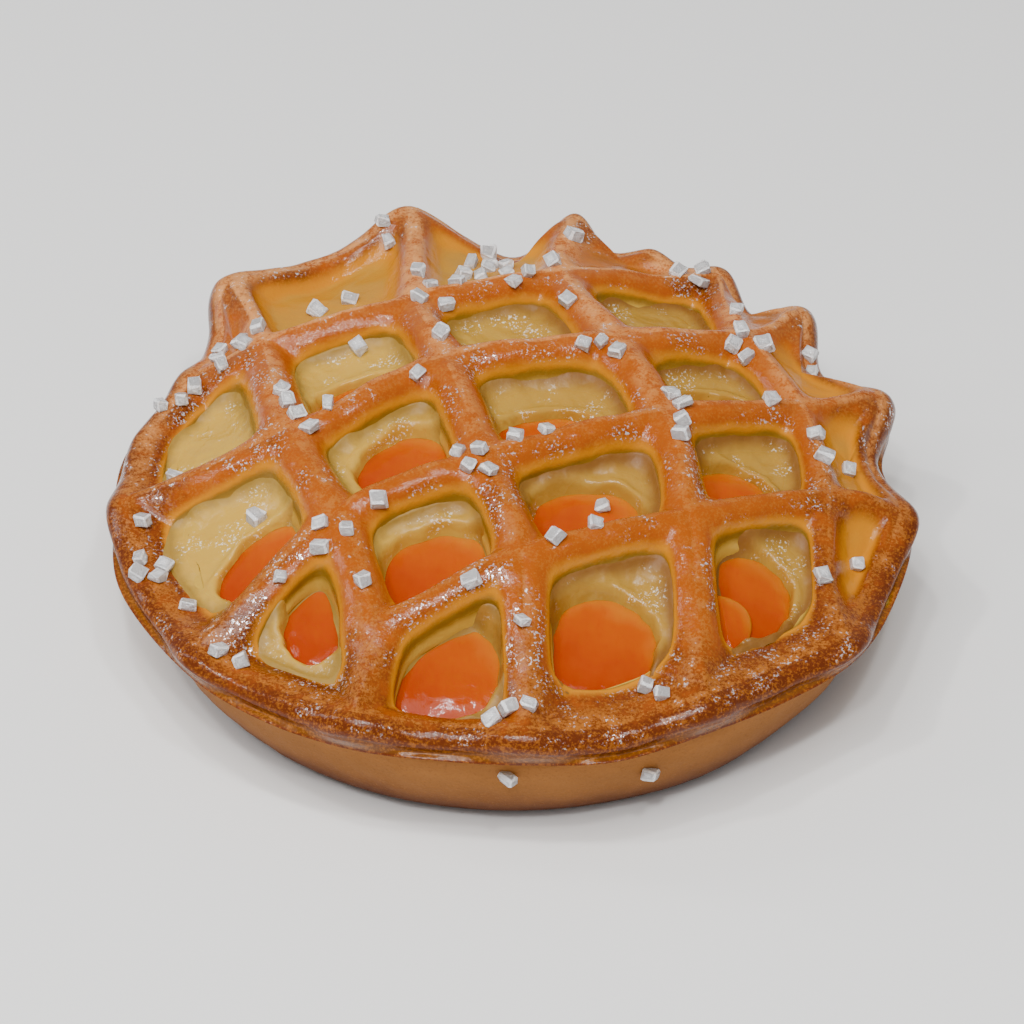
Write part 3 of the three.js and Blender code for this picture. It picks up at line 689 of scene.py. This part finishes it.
def facing(ridge, side, out):
    """How far a half strip faces the tart's front, from 0 to 1: even at the ridge, and out from it by the
    direction in plan in which it falls."""
    fall = (side - ridge)[:, :2]
    toward = -fall[:, 1] / np.maximum(np.hypot(*fall.T), 0.1)
    return 0.5 + (smooth(-0.5, 0.7, toward) - 0.5) * smooth(0, 0.2, out)


def lattice_sheets(net, form):
    """The grids of the lattice: every well's half strips, every web, and the edge's outer side. Each carries
    fallen, the share of its height it has sunk from the ridge; web, how far a web has dipped; rim, 1 on the
    outer side; and front, how far it faces the tart's front."""
    amount = form.unevenness / MM
    section = fine_section(BAKED_SECTION)
    out, fallen = (column[:, None].clip(0, 1) for column in section.T)
    sheets = []
    for name, well in wells_of(net).items():
        side = well.wall()
        front = facing(well.ridge, side, out)
        rows = uneven(baked_strip(well.ridge, side, foot_length(name, side), section), fallen, amount)
        sheets.append((rows, {"fallen": fallen, "web": 0, "rim": 0, "front": front}))
    for loop in net.loops:
        dip = WEBS.get(net.name(loop))
        if dip:
            rows, dipped = pool_rows(loop, dip)
            depth = min(dip / WEB_FULL_DIP, 1)
            front = facing(rows[0], rows[-1], np.linspace(0, 1, len(rows))[:, None])
            sheets.append((uneven(rows, 0, amount), {"fallen": WEB_FALLEN * depth * dipped,
                                                     "web": dipped * depth, "rim": 0, "front": front}))
            under = rows[::-5].copy()
            under[..., 2] = underside_height(under[..., 0], under[..., 1])
            sheets.append((under, {"fallen": 1, "web": 0, "rim": 0, "front": 0.5}))
    section = fine_section(RIM_SECTION)
    out, fallen = (column[:, None].clip(0, 1) for column in section.T)
    ridge, side = net.edge[::-1], outer_side(net)[::-1]
    rows = uneven(half_strip(ridge, side, section), fallen, amount)
    sheets.append((rows, {"fallen": fallen, "web": 0, "rim": out, "front": facing(ridge, side, out)}))
    return sheets


def crust_finish(colours):
    """Glazed crust: a tan on the ridges that is partly dry bloom and partly painted sheen of a back light,
    amber sides with painted glints, and gold, a painted shade and cream down in the wells.
    """
    finish = Finish("glazed crust", Specular_IOR_Level=0.22, Subsurface_Weight=0.08,
                    Subsurface_Radius=(1.0, 0.45, 0.15), Subsurface_Scale=1.2 * MM)
    fallen, web, rim, front, outer = (finish.attribute(name) for name in
                                      ("fallen", "web", "rim", "front", "outer"))
    back = finish.along("Y").rise(-25, 45)
    broad = finish.noise(9, 3)
    patchy = finish.noise(2.2, 4, 0.6, seed=4)
    fine = finish.noise(0.45, 4, 0.7, seed=8)
    fall = fallen + 0.16 * (broad - 0.5) + 0.16 * (patchy - 0.5)
    browning = (broad * 1.2 + patchy * 0.8 + rim * 0.25 + outer * 0.4 - 0.15 * back).rise(0.95, 1.5)
    crust = finish.mix(browning, colours.amber, colours.chestnut)
    crust = finish.mix((fine + 0.4 * patchy).rise(0.66, 0.84) * 0.55, crust, colours.haze)
    # The ridges' tan is partly the crust's dry bloom and partly painted sheen of a back light: it is
    # strongest on faces turned away from the front, and paler toward the back.
    ridge = 1 - (fall + 0.2 * (fine - 0.5)).rise(0.0, 0.16)
    haze_and_sheen_reach = ridge * (1 - 0.85 * front.rise(0.5, 0.9)) * (1 - 0.8 * rim)
    haze_and_sheen_mask = haze_and_sheen_reach * (patchy * 0.9 + broad * 0.5 + fine * 0.8 + 0.08 * back).rise(0.9, 1.35)
    crust = finish.mix(haze_and_sheen_mask, crust, finish.mix(back, colours.haze, colours.pale_haze))
    cream = tuple(colours.cream)
    # A darker, greener copy of the cream: painted shade high on the wells' walls, under the strips.
    olive_shade = (0.6 * cream[0], 0.52 * cream[1], 0.4 * cream[2])
    pale = tuple(1.35 * c for c in cream)
    for low, high, shade in ((0.20, 0.44, colours.gold), (0.42, 0.62, olive_shade), (0.68, 0.92, pale)):
        crust = finish.mix(fall.rise(low, high) * (1 - rim), crust, shade)
    crust = finish.mix(web.rise(0.15, 0.7), crust, colours.gold)
    crust = finish.mix((web + 0.5 * (broad - 0.5)).rise(0.75, 1.1) * 0.6, crust, colours.cream)
    # Painted glints: pale, partly metallic specks in a strip just below the ridges stand in for the glaze's
    # sparkle.
    glint_band = ((fall + 0.5 * (patchy - 0.5)).rise(0.0, 0.1) * (1 - fall.rise(0.26, 0.4))
            * (1 - web.rise(0.1, 0.3)))
    glint_grit = finish.noise(0.5, 2, 0.7, seed=21).rise(0.57, 0.64)
    painted_glints = glint_grit * glint_band * (broad + 0.6 * patchy).rise(0.8, 0.98)
    crust = finish.mix(painted_glints, crust, (0.9, 0.84, 0.84))
    finish.set("Base Color", crust)
    finish.set("Metallic", 0.75 * painted_glints)
    finish.set("Roughness", 0.1 + 0.45 * haze_and_sheen_mask + 0.15 * fall.rise(0.4, 0.6) - 0.12 * fall.rise(0.7, 0.9)
               + 0.1 * patchy)
    finish.bump(finish.noise(3.5, 1, seed=11) * 0.3 + finish.noise(0.55, 2, seed=12) * 0.07)
    return finish.material


class TART_OT_lattice(bpy.types.Operator):
    """Makes the puffed lattice of dough with its glaze"""

    bl_idname = "tart.lattice"
    bl_label = "Lattice"

    def execute(self, context):
        scene = context.scene
        net = Net(scene.tart_form.span_steps, 3 * scene.tart_form.span_steps // 4)
        points, faces, attributes = join_sheets(lattice_sheets(net, scene.tart_form))
        attributes["outer"] = smooth(42, 62, np.hypot(points[:, 0], points[:, 1]))
        piece = add_mesh("glazed_lattice", points, faces, attributes, crust_finish(scene.tart_colours))
        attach(piece, "root")
        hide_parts("lattice")
        return {"FINISHED"}


# ---- the sugar ----


def plain_net_tree(net):
    """The solid lattice's own facets, for the rule that places the grains."""
    sheets = [(half_strip(well.ridge, well.wall(), PLAIN_SECTION), {}) for well in wells_of(net).values()]
    sheets += [(web_rows(loop, WEBS[net.name(loop)], PLAIN_WEB), {})
               for loop in net.loops if net.name(loop) in WEBS]
    sheets.append((half_strip(net.edge[::-1], outer_side(net)[::-1], PLAIN_SECTION), {}))
    points, faces, _ = join_sheets(sheets)
    return BVHTree.FromPolygons(points.tolist(), faces.tolist())


class Dice:
    """Repeatable random numbers from 0 to 1."""

    FACTOR, MODULUS = 16807, 2147483647

    def __init__(self, seed):
        self.state = seed

    def __call__(self):
        self.state = self.state * self.FACTOR % self.MODULUS
        return self.state / self.MODULUS


def tree_of(name):
    """A finished piece's facets in millimetres, for rays."""
    mesh = bpy.data.objects[name].data
    points = np.empty(3 * len(mesh.vertices), np.float32)
    corners = np.empty(3 * len(mesh.polygons), np.int32)
    mesh.vertices.foreach_get("co", points)
    mesh.loops.foreach_get("vertex_index", corners)
    return BVHTree.FromPolygons((points / MM).reshape(-1, 3).tolist(), corners.reshape(-1, 3).tolist())


def landing(tree, x, y):
    """Where a grain that falls at a place in plan lands, or None."""
    return tree.ray_cast(Vector((x, y, 2 * CROWN)), Vector((0, 0, -1)))[0]


def scatter_grains(tree, dice):
    """Places for the grains: in clusters and then singly, where a patch as wide as a grain is all lattice and
    not too steep, and not too near another grain."""
    reach = GRAIN_REACH * GRAIN
    probes = ((0, 0), (reach, 0), (-reach, 0), (0, reach), (0, -reach))
    placed = []

    def height_at(x, y):
        hit = landing(tree, x, y)
        return hit.z if hit else -math.inf

    def placed_at(x, y):
        heights = [height_at(x + u, y + v) for u, v in probes]
        crowded = any(math.hypot(px - x, py - y) < GRAIN_SPACING for px, py, _ in placed)
        if not max(heights) - min(heights) < GRAIN or crowded:
            return False
        placed.append((x, y, heights[0]))
        return True

    def place_group(x, y, count, spread, tries):
        found = 0
        while found < count and tries > 0:
            angle, distance = 2 * math.pi * dice(), spread * math.sqrt(dice())
            found += placed_at(x + distance * math.cos(angle), y + distance * math.sin(angle))
            tries -= 1

    for x, y, count, spread in CLUSTERS:
        place_group(x, y, count, spread, GRAIN_TRIES * count)
    place_group(0, 0, LOOSE_GRAINS, CREST_RADIUS, LOOSE_TRIES)
    return placed


def chamfered_block():
    """A block's 24 points, as corner signs and the face each lies on, and its 44 outward triangles."""
    signs = np.array([(x, y, z) for x in (-1, 1) for y in (-1, 1) for z in (-1, 1)], float)
    index = {tuple(sign): i for i, sign in enumerate(signs)}
    faces = []
    for i, sign in enumerate(signs):
        faces.append([3 * i, 3 * i + 1, 3 * i + 2])
        for axis in range(3):
            other = sign.copy()
            other[axis] = -sign[axis]
            j = index[tuple(other)]
            b, c = (axis + 1) % 3, (axis + 2) % 3
            if j > i:
                faces += [[3 * i + b, 3 * j + b, 3 * j + c], [3 * i + b, 3 * j + c, 3 * i + c]]
            corner = sign.copy()
            corner[b], corner[c] = -sign[b], -sign[c]
            across = index[tuple(corner)]
            side = sign.copy()
            side[b] = -sign[b]
            if across > i:
                for third in (index[tuple(side)], index[tuple(-side + 2 * sign * (np.arange(3) == axis))]):
                    faces.append([3 * i + axis, 3 * third + axis, 3 * across + axis])
    faces = np.array(faces)
    on_face = np.tile(np.arange(3), 8)
    corners = np.repeat(signs, 3, axis=0)
    shape = corners * np.where(np.arange(3) == on_face[:, None], 1, 0.8)
    a, b, c = (shape[faces[:, k]] for k in range(3))
    inward = np.einsum("fk,fk->f", np.cross(b - a, c - a), a + b + c) < 0
    faces[inward] = faces[inward][:, ::-1]
    return corners, on_face, faces


def grain_blocks(centres, dice, bevel):
    """One chipped, bevelled, tilted block at each centre: corners at half its sides times a chip, drawn in by
    the bevel along the two axes of the face they lie on, then turned."""
    corners, on_face, faces = chamfered_block()
    count = len(centres)
    numbers = np.array([[dice() for _ in range(30)] for _ in range(count)])
    sides = GRAIN * np.array(GRAIN_FLATNESS) * (1 + GRAIN_VARIATION * (2 * numbers[:, :3] - 1))
    chips = np.repeat(1 - GRAIN_CHIP * numbers[:, 3:27].reshape(count, 8, 3), 3, axis=1)
    drawn = bevel * (np.arange(3) != on_face[:, None])
    local = corners * (sides[:, None] / 2 * chips - drawn)
    local = local + GRAIN_ROUGHNESS * np.random.default_rng(len(centres)).uniform(-1, 1, local.shape)
    tilt_x, tilt_y = (GRAIN_TILT * (2 * numbers[:, 27:29] - 1)).T
    turn = 2 * math.pi * numbers[:, 29]
    cx, sx, cy, sy, cz, sz = (f(a)[:, None] for a in (tilt_x, tilt_y, turn) for f in (np.cos, np.sin))
    x, y, z = np.moveaxis(local, 2, 0)
    x, y = x * cz - y * sz, x * sz + y * cz
    x, z = x * cy + z * sy, -x * sy + z * cy
    y, z = y * cx - z * sx, y * sx + z * cx
    points = np.stack([x, y, z], -1) + np.asarray(centres)[:, None]
    return points.reshape(-1, 3), (faces + len(corners) * np.arange(count)[:, None, None]).reshape(-1, 3)


def sugar_finish(colours):
    """Cloudy sugar: pale, partly clear, and soft inside."""
    finish = Finish("coarse sugar", Roughness=0.15, Subsurface_Weight=0.6, Subsurface_Radius=(1, 0.95, 0.9),
                    Subsurface_Scale=0.9 * MM, Transmission_Weight=0.12)
    cloud = finish.noise(1.1, 3, 0.6, seed=9)
    clear = tuple(0.94 * c for c in colours.sugar)
    finish.set("Base Color", finish.mix(cloud.rise(0.35, 0.6), clear, colours.sugar))
    finish.bump(finish.noise(0.5, 3, 0.6) * 0.3)
    return finish.material


class TART_OT_sugar(bpy.types.Operator):
    """Scatters coarse sugar over the lattice"""

    bl_idname = "tart.sugar"
    bl_label = "Sugar"

    SEED = 20901

    def execute(self, context):
        scene = context.scene
        dice = Dice(self.SEED)
        placed = scatter_grains(plain_net_tree(Net(*SOLID_STEPS)), dice)
        sunk = GRAIN / 2 - GRAIN_SINK
        lattice, base = tree_of("glazed_lattice"), tree_of("baked_base")
        centres = []
        for x, y, z in placed:
            hit = landing(lattice, x, y)
            centres.append((x, y, (hit.z if hit else z) + sunk))
        below = [lattice] + [tree_of(piece.name) for piece in bpy.data.objects
                             if piece.name.startswith(("custard_filling", "glazed_apricot"))]
        for x, y in FALLEN_GRAINS:
            hits = [landing(tree, x, y) for tree in below]
            centres.append((x, y, max(hit.z for hit in hits if hit) + sunk))
        for x, z in SIDE_GRAINS:
            hit = base.ray_cast(Vector((x, -2 * BASE_RADIUS, z)), Vector((0, 1, 0)))[0]
            centres.append((x, hit.y - sunk, z))
        points, faces = grain_blocks(centres, dice, scene.tart_form.grain_bevel / MM)
        piece = add_mesh("sugar_grains", points, faces, {}, sugar_finish(scene.tart_colours))
        piece.data.polygons.foreach_set("use_smooth", np.zeros(len(piece.data.polygons), bool))
        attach(piece, "root")
        return {"FINISHED"}


# ---- the custard and the apricots ----


class Fruit:
    """An apricot's outline in plan: a squarish ellipse."""

    def __init__(self, row):
        self.node, self.well, self.x, self.y, self.length, self.breadth, turn, self.raised = row
        self.length *= FRUIT_GROWTH
        self.breadth *= FRUIT_GROWTH
        self.turn = math.radians(turn)
        self.size = (self.length + self.breadth) / 2

    def share(self, x, y):
        """How far out a place lies: 0 in the middle and 1 on the outline."""
        dx, dy = x - self.x, y - self.y
        u = (dx * math.cos(self.turn) + dy * math.sin(self.turn)) / self.length
        v = (-dx * math.sin(self.turn) + dy * math.cos(self.turn)) / self.breadth
        return (np.abs(u) ** FRUIT_POWER + np.abs(v) ** FRUIT_POWER) ** (1 / FRUIT_POWER)

    def beyond(self, x, y):
        """How many millimetres a place lies outside the outline."""
        return (self.share(x, y) - 1) * self.size


def custard_surface(x, y, well, fruits, climb, form):
    """The custard: its even height with ripples, a cove that climbs the wall by an exponential of the way
    from it, a lip round each apricot as a bell curve, and a hollow under it. Returns the heights, how high
    the cove is from 0 to 1, and how near an apricot's edge lies."""
    inside = np.maximum(well.inside(x, y), 0)
    place = np.stack([x, y, np.zeros_like(x)], -1)
    cove = np.exp(-inside / (COVE_BREADTH * (1 + ripples(place, COVE_RIPPLES))))
    z = custard_height(x, y) + ripples(place, CUSTARD_RIPPLES)
    z = z + climb * cove
    hollow = np.zeros_like(x)
    edge = np.zeros_like(x)
    for fruit in fruits:
        beyond = fruit.beyond(x, y) + ripples(place, OUTLINE_RIPPLES)
        z = z + form.lip / MM * np.exp(-((beyond - 0.8) / 0.8) ** 2)
        hollow = np.maximum(hollow, 1 - smooth(-1.1, 0.3, beyond))
        edge = np.maximum(edge, np.exp(-(beyond / 1.5) ** 2))
    return z - HOLLOW_DEPTH * hollow, cove, edge


def custard_rows(well, fruits, form):
    """Rows that run in from under the strips, opposite each point of the ridge, to the well's middle."""
    outer = well.wall(-CUSTARD_TUCK)
    wall_height = well.ridge[:, 2] - custard_height(*outer[:, :2].T)
    climb = np.minimum(form.cove / MM, COVE_SHARE * wall_height)
    share = np.linspace(0, 1, 50)[:, None, None]
    rows = outer + (well.middle - outer) * share
    rows[..., 2], cove, edge = custard_surface(rows[..., 0], rows[..., 1], well, fruits, climb, form)
    return rows, {"cove": cove, "edge": edge}


def custard_finish(colours):
    """Set custard: pale cream low down, a deeper greenish tan up the cove that is partly painted shade under
    the strips, golden where it meets an apricot, a painted shade toward the right side, and glossy low down,
    with painted glints as small pale spots."""
    finish = Finish("baked custard", Specular_IOR_Level=0.25, Subsurface_Weight=0.25,
                    Subsurface_Radius=(1.0, 0.6, 0.2), Subsurface_Scale=1.2 * MM)
    cove, edge = finish.attribute("cove"), finish.attribute("edge")
    broad = finish.noise(6, 2, seed=1)
    patchy = finish.noise(2.4, 4, 0.6, seed=3)
    fine = finish.noise(0.5, 3, 0.65, seed=5)
    cream = tuple(colours.cream)
    pale = tuple(min(1.4 * c, 1) for c in cream)
    # The greenish tan up the cove is partly a deeper tone by the dough and partly painted shade under the
    # strips.
    olive_shade = (0.8 * cream[0], 0.78 * cream[1], 0.9 * cream[2])
    custard = finish.mix((cove + 0.6 * (patchy - 0.5) + 0.5 * (broad - 0.5)).rise(0.2, 0.9), pale, olive_shade)
    custard = finish.mix((edge * 0.8 + 0.8 * (broad - 0.5)).rise(0.6, 1.0) * 0.5, custard, colours.gold)
    # Painted shade: a darker, browner copy of the cream toward the right side, strongest up the cove.
    painted_right_shade = (0.46 * cream[0], 0.26 * cream[1], 0.28 * cream[2])
    right = finish.along("X").rise(-25, 15)
    custard = finish.mix(right * (0.4 + 0.4 * cove.rise(0.2, 0.8)), custard, painted_right_shade)
    # Painted glints: small pale spots low down, where the custard is glossy.
    wet_glints = broad.rise(0.5, 0.62) * (1 - cove.rise(0.35, 0.8)) * fine.rise(0.56, 0.64)
    custard = finish.mix(wet_glints * 0.75, custard, (0.88, 0.84, 0.70))
    finish.set("Base Color", custard)
    finish.set("Roughness", 0.1 + 0.3 * cove.rise(0.1, 0.6) + 0.1 * patchy)
    finish.bump(finish.noise(2.6, 1, seed=13) * 0.35 + finish.noise(0.55, 2, seed=14) * 0.05)
    return finish.material


class TART_OT_custard(bpy.types.Operator):
    """Fills the tart with custard up to the lattice"""

    bl_idname = "tart.custard"
    bl_label = "Custard"

    def execute(self, context):
        scene = context.scene
        fruits = [Fruit(row) for row in APRICOTS]
        sheets = []
        for name, well in wells_of(Net(*CUSTARD_STEPS)).items():
            here = [fruit for fruit in fruits if fruit.well == name]
            sheets.append(custard_rows(well, here, scene.tart_form))
        points, faces, attributes = join_sheets(sheets)
        piece = add_mesh("custard_filling", points, faces, attributes, custard_finish(scene.tart_colours))
        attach(piece, "root")
        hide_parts("custard")
        return {"FINISHED"}


def apricot_rows(fruit, well, form):
    """An apricot piece: a low dome over its outline, pressed down under the strips, and a bowl below."""
    around = 2 * math.pi * np.arange(APRICOT_AROUND) / APRICOT_AROUND
    share = np.sin(np.linspace(0, math.pi / 2, APRICOT_ROWS))
    below = share[::-2]
    out = np.concatenate([share, below])[:, None]
    power = 2 / FRUIT_POWER
    u = fruit.length * out * np.sign(np.cos(around)) * np.abs(np.cos(around)) ** power
    v = fruit.breadth * out * np.sign(np.sin(around)) * np.abs(np.sin(around)) ** power
    x = fruit.x + u * math.cos(fruit.turn) - v * math.sin(fruit.turn)
    y = fruit.y + u * math.sin(fruit.turn) + v * math.cos(fruit.turn)
    even = custard_height(x, y)
    bulge = np.sqrt(np.maximum(1 - out**2, 0))
    place = np.stack([x, y, np.zeros_like(x)], -1)
    top = (even - APRICOT_SUNK + 2 * fruit.raised + form.dome / MM * bulge**0.8
           + ripples(place, APRICOT_RIPPLES))
    pressed = even - PRESSED_SUNK + PRESSED_RISE * smooth(*PRESSED_ZONE, well.inside(x, y))
    top = np.minimum(top, pressed)
    bottom = even - APRICOT_SUNK - APRICOT_DEPTH * bulge
    z = np.where(np.arange(len(out))[:, None] < len(share), top, bottom)
    return np.stack([x, y, z], -1)


def apricot_finish(colours):
    """Glazed apricot: deep, clear orange, golden toward the back where custard shines through its edge."""
    finish = Finish("glazed apricot", Roughness=0.08, Specular_IOR_Level=0.12,
                    Subsurface_Weight=0.6, Subsurface_Radius=(1.0, 0.22, 0.03), Subsurface_Scale=2.5 * MM)
    broad = finish.noise(5.5, 2, 0.5, seed=2)
    fibre = finish.noise(0.9, 3, 0.6, stretch=(1, 0.35, 1))
    out, far = finish.attribute("out"), finish.attribute("far")
    bright = tuple(colours.apricot)
    deep = (0.8 * bright[0], 0.5 * bright[1], 0)
    golden = (1.15 * bright[0], 2.1 * bright[1], 0.004)
    flesh = finish.mix((far + 1.4 * (broad - 0.5)).rise(-0.9, 0.6), deep, bright)
    thin = (out + 0.5 * far + 0.9 * (broad - 0.5)).rise(0.85, 1.5)
    flesh = finish.mix(thin * 0.85, flesh, golden)
    finish.set("Base Color", finish.mix((fibre * 0.6).rise(0.3, 0.5) * 0.25, flesh, deep))
    finish.bump(broad * 0.3 + fibre * 0.04)
    return finish.material


class TART_OT_apricots(bpy.types.Operator):
    """Lays the apricot pieces in the custard"""

    bl_idname = "tart.apricots"
    bl_label = "Apricots"

    def execute(self, context):
        scene = context.scene
        wells = wells_of(Net(*APRICOT_STEPS))
        material = apricot_finish(scene.tart_colours)
        for row in APRICOTS:
            fruit = Fruit(row)
            rows = apricot_rows(fruit, wells[fruit.well], scene.tart_form)
            values = {"out": fruit.share(rows[..., 0], rows[..., 1]).clip(0, 1),
                      "far": ((rows[..., 1] - fruit.y) + 0.5 * (rows[..., 0] - fruit.x)) / fruit.size}
            points, faces, attributes = join_sheets([(rows, values)])
            piece = add_mesh(f"glazed_{fruit.node}", points, faces[:, ::-1], attributes, material)
            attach(piece, "root")
            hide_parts(fruit.node)
        return {"FINISHED"}


# ---- the dough base ----


def belly_share(height):
    """The base's side: an ellipse, as a share of its widest radius."""
    return np.sqrt(1 - ((height - BELLY_HEIGHT) / BELLY_REACH) ** 2)


def base_rows():
    """Rings of a profile carried round the axis: the foot, the belly, the round top of the wall, and the
    inside down to the floor."""
    heights = np.linspace(BELLY_START, BELLY_HEIGHT, BELLY_ROWS)
    belly = np.column_stack([belly_share(heights), heights])
    share, height = np.vstack([BASE_FOOT, belly, BASE_LIP, BASE_INSIDE]).T
    angle = (2 * math.pi * np.arange(BASE_AROUND) / BASE_AROUND)[None]
    radius = share[:, None] * base_radius(angle)
    rows = np.stack([radius * np.cos(angle), radius * np.sin(angle),
                     np.broadcast_to(height[:, None], radius.shape)], -1)
    side = smooth(0.3, 2, height) * smooth(19, 17.5, height) * (share > 0.86)
    swell = ripples(rows, BASE_RIPPLES)
    outward = np.stack([np.cos(angle), np.sin(angle), np.zeros_like(angle)], -1)
    return rows + (side[:, None] * swell)[..., None] * outward


def base_finish(colours):
    """Dry baked dough: light tan with a fine speckle, a painted shade toward the table and painted light
    toward the top.
    """
    finish = Finish("baked base", Roughness=0.7, Specular_IOR_Level=0.15)
    broad = finish.noise(11, 3)
    speckle = finish.noise(0.45, 3, 0.7, seed=6)
    blotch = finish.noise(2.2, 3, 0.6, seed=7)
    height = finish.along("Z")
    # Painted shade: darker toward the table.
    low = 1 - (height + 5 * (broad - 0.5) + 2 * (blotch - 0.5)).rise(1.5, 12)
    dark, light = (tuple(factor * c for c in colours.biscuit) for factor in (0.62, 1.35))
    # Lighter toward the top: painted light from above, and partly paler dough under the edge.
    lit_and_pale_top = (height + 4 * (broad - 0.5) + 2 * (blotch - 0.5)).rise(11, 15)
    dough = finish.mix(lit_and_pale_top * 0.8, colours.biscuit, light)
    dough = finish.mix(low, dough, colours.toast)
    dough = finish.mix(speckle.rise(0.52, 0.75) * 0.55, dough, dark)
    dough = finish.mix((1 - speckle.rise(0.25, 0.45)) * 0.5, dough, light)
    finish.set("Base Color", dough)
    finish.bump(speckle * 0.1 + blotch * 0.1)
    return finish.material


class TART_OT_base(bpy.types.Operator):
    """Makes the baked dough base"""

    bl_idname = "tart.base"
    bl_label = "Base"

    def execute(self, context):
        points, faces, _ = join_sheets([(base_rows(), {})])
        piece = add_mesh("baked_base", points, faces, {}, base_finish(context.scene.tart_colours))
        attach(piece, "root")
        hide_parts("base_crust")
        return {"FINISHED"}


# ---- the stage ----


def aim(item, target):
    """Turns a light or the camera toward a place."""
    item.rotation_euler = (Vector(target) - item.location).to_track_quat("-Z", "Y").to_euler()


def add_softbox(name, place, size, power, shade):
    light = bpy.data.lights.new(name, "AREA")
    light.shape = "RECTANGLE"
    light.size, light.size_y = size
    light.energy = power
    light.color = shade
    item = bpy.data.objects.new(name, light)
    item.location = place
    aim(item, (0, 0, 0.02))
    bpy.context.scene.collection.objects.link(item)


class TART_OT_stage(bpy.types.Operator):
    """Makes the pale floor, the soft studio lights and the camera"""

    bl_idname = "tart.stage"
    bl_label = "Stage"

    FRAME_PIXELS = 1024
    TARGET_MM = (0.9, 2.3, 20.0)
    TARGET_PIXEL = (513.5, 481.0)
    FLOOR_HALF = 3.0
    SENSOR_MM = 36
    # Lights: name, place and size in metres, power as a share of the key light's, and colour.
    LIGHTS = (
        ("overhead", (-0.10, -0.30, 0.70), (0.60, 0.40), 1, (1, 0.99, 0.97)),
        ("sparkle 0", (-0.10, -0.18, 0.80), (0.05, 0.04), 0.25, (1, 0.99, 0.97)),
        ("sparkle 1", (0.14, -0.30, 0.75), (0.05, 0.04), 0.25, (1, 0.99, 0.97)),
        ("sparkle 2", (-0.34, -0.16, 0.72), (0.05, 0.04), 0.25, (1, 0.99, 0.97)),
        ("sparkle 3", (-0.05, -0.42, 0.68), (0.05, 0.04), 0.25, (1, 0.99, 0.97)),
        ("left strip", (-0.62, 0.10, 0.42), (0.08, 0.5), 0.3, (1, 1, 1)),
    )

    def execute(self, context):
        scene = context.scene
        stage = scene.tart_stage
        half = self.FLOOR_HALF
        corners = [(-half, -half, 0), (half, -half, 0), (half, half, 0), (-half, half, 0)]
        mesh = bpy.data.meshes.new("floor")
        mesh.from_pydata(corners, [], [(0, 1, 2, 3)])
        floor = bpy.data.objects.new("floor", mesh)
        scene.collection.objects.link(floor)
        mesh.materials.append(Finish("pale floor", Base_Color=(*scene.tart_colours.floor, 1),
                                     Roughness=0.7).material)

        world = bpy.data.worlds.new("white surroundings")
        world.use_nodes = True
        sky = world.node_tree.nodes["Background"]
        sky.inputs["Color"].default_value = (1, 1, 1, 1)
        sky.inputs["Strength"].default_value = stage.fill
        scene.world = world
        for name, place, size, share, shade in self.LIGHTS:
            add_softbox(name, place, size, share * stage.key, shade)

        camera = bpy.data.cameras.new("camera")
        camera.sensor_width = self.SENSOR_MM
        camera.lens = stage.lens
        middle = self.FRAME_PIXELS / 2
        camera.shift_x = (middle - self.TARGET_PIXEL[0]) / self.FRAME_PIXELS
        camera.shift_y = (self.TARGET_PIXEL[1] - middle) / self.FRAME_PIXELS
        viewer = bpy.data.objects.new("camera", camera)
        target = Vector(self.TARGET_MM) * MM
        slope = stage.elevation
        viewer.location = target + stage.distance * Vector((0, -math.cos(slope), math.sin(slope)))
        aim(viewer, target)
        scene.collection.objects.link(viewer)
        scene.camera = viewer
        return {"FINISHED"}


class TART_PT_panel(bpy.types.Panel):
    """Lists the tart's pieces in the sidebar"""

    bl_idname = "TART_PT_panel"
    bl_label = "Apricot tart"
    bl_space_type = "VIEW_3D"
    bl_region_type = "UI"
    bl_category = "Tart"

    def draw(self, context):
        for operator in OPERATORS:
            self.layout.operator(operator.bl_idname)
        for group in (context.scene.tart_form, context.scene.tart_colours, context.scene.tart_stage):
            for name in group.bl_rna.properties.keys():
                if name not in ("rna_type", "name"):
                    self.layout.prop(group, name)


OPERATORS = (TART_OT_base, TART_OT_custard, TART_OT_apricots, TART_OT_lattice, TART_OT_sugar, TART_OT_stage)
GROUPS = {"tart_form": TartForm, "tart_colours": TartColours, "tart_stage": TartStage}


def register():
    for made in (*GROUPS.values(), *OPERATORS, TART_PT_panel):
        bpy.utils.register_class(made)
    for name, group in GROUPS.items():
        setattr(bpy.types.Scene, name, PointerProperty(type=group))


def unregister():
    for name in GROUPS:
        delattr(bpy.types.Scene, name)
    for made in reversed((*GROUPS.values(), *OPERATORS, TART_PT_panel)):
        bpy.utils.unregister_class(made)


def main():
    register()
    for operator in OPERATORS:
        group, name = operator.bl_idname.split(".")
        getattr(getattr(bpy.ops, group), name)()


if __name__ == "__main__":
    main()
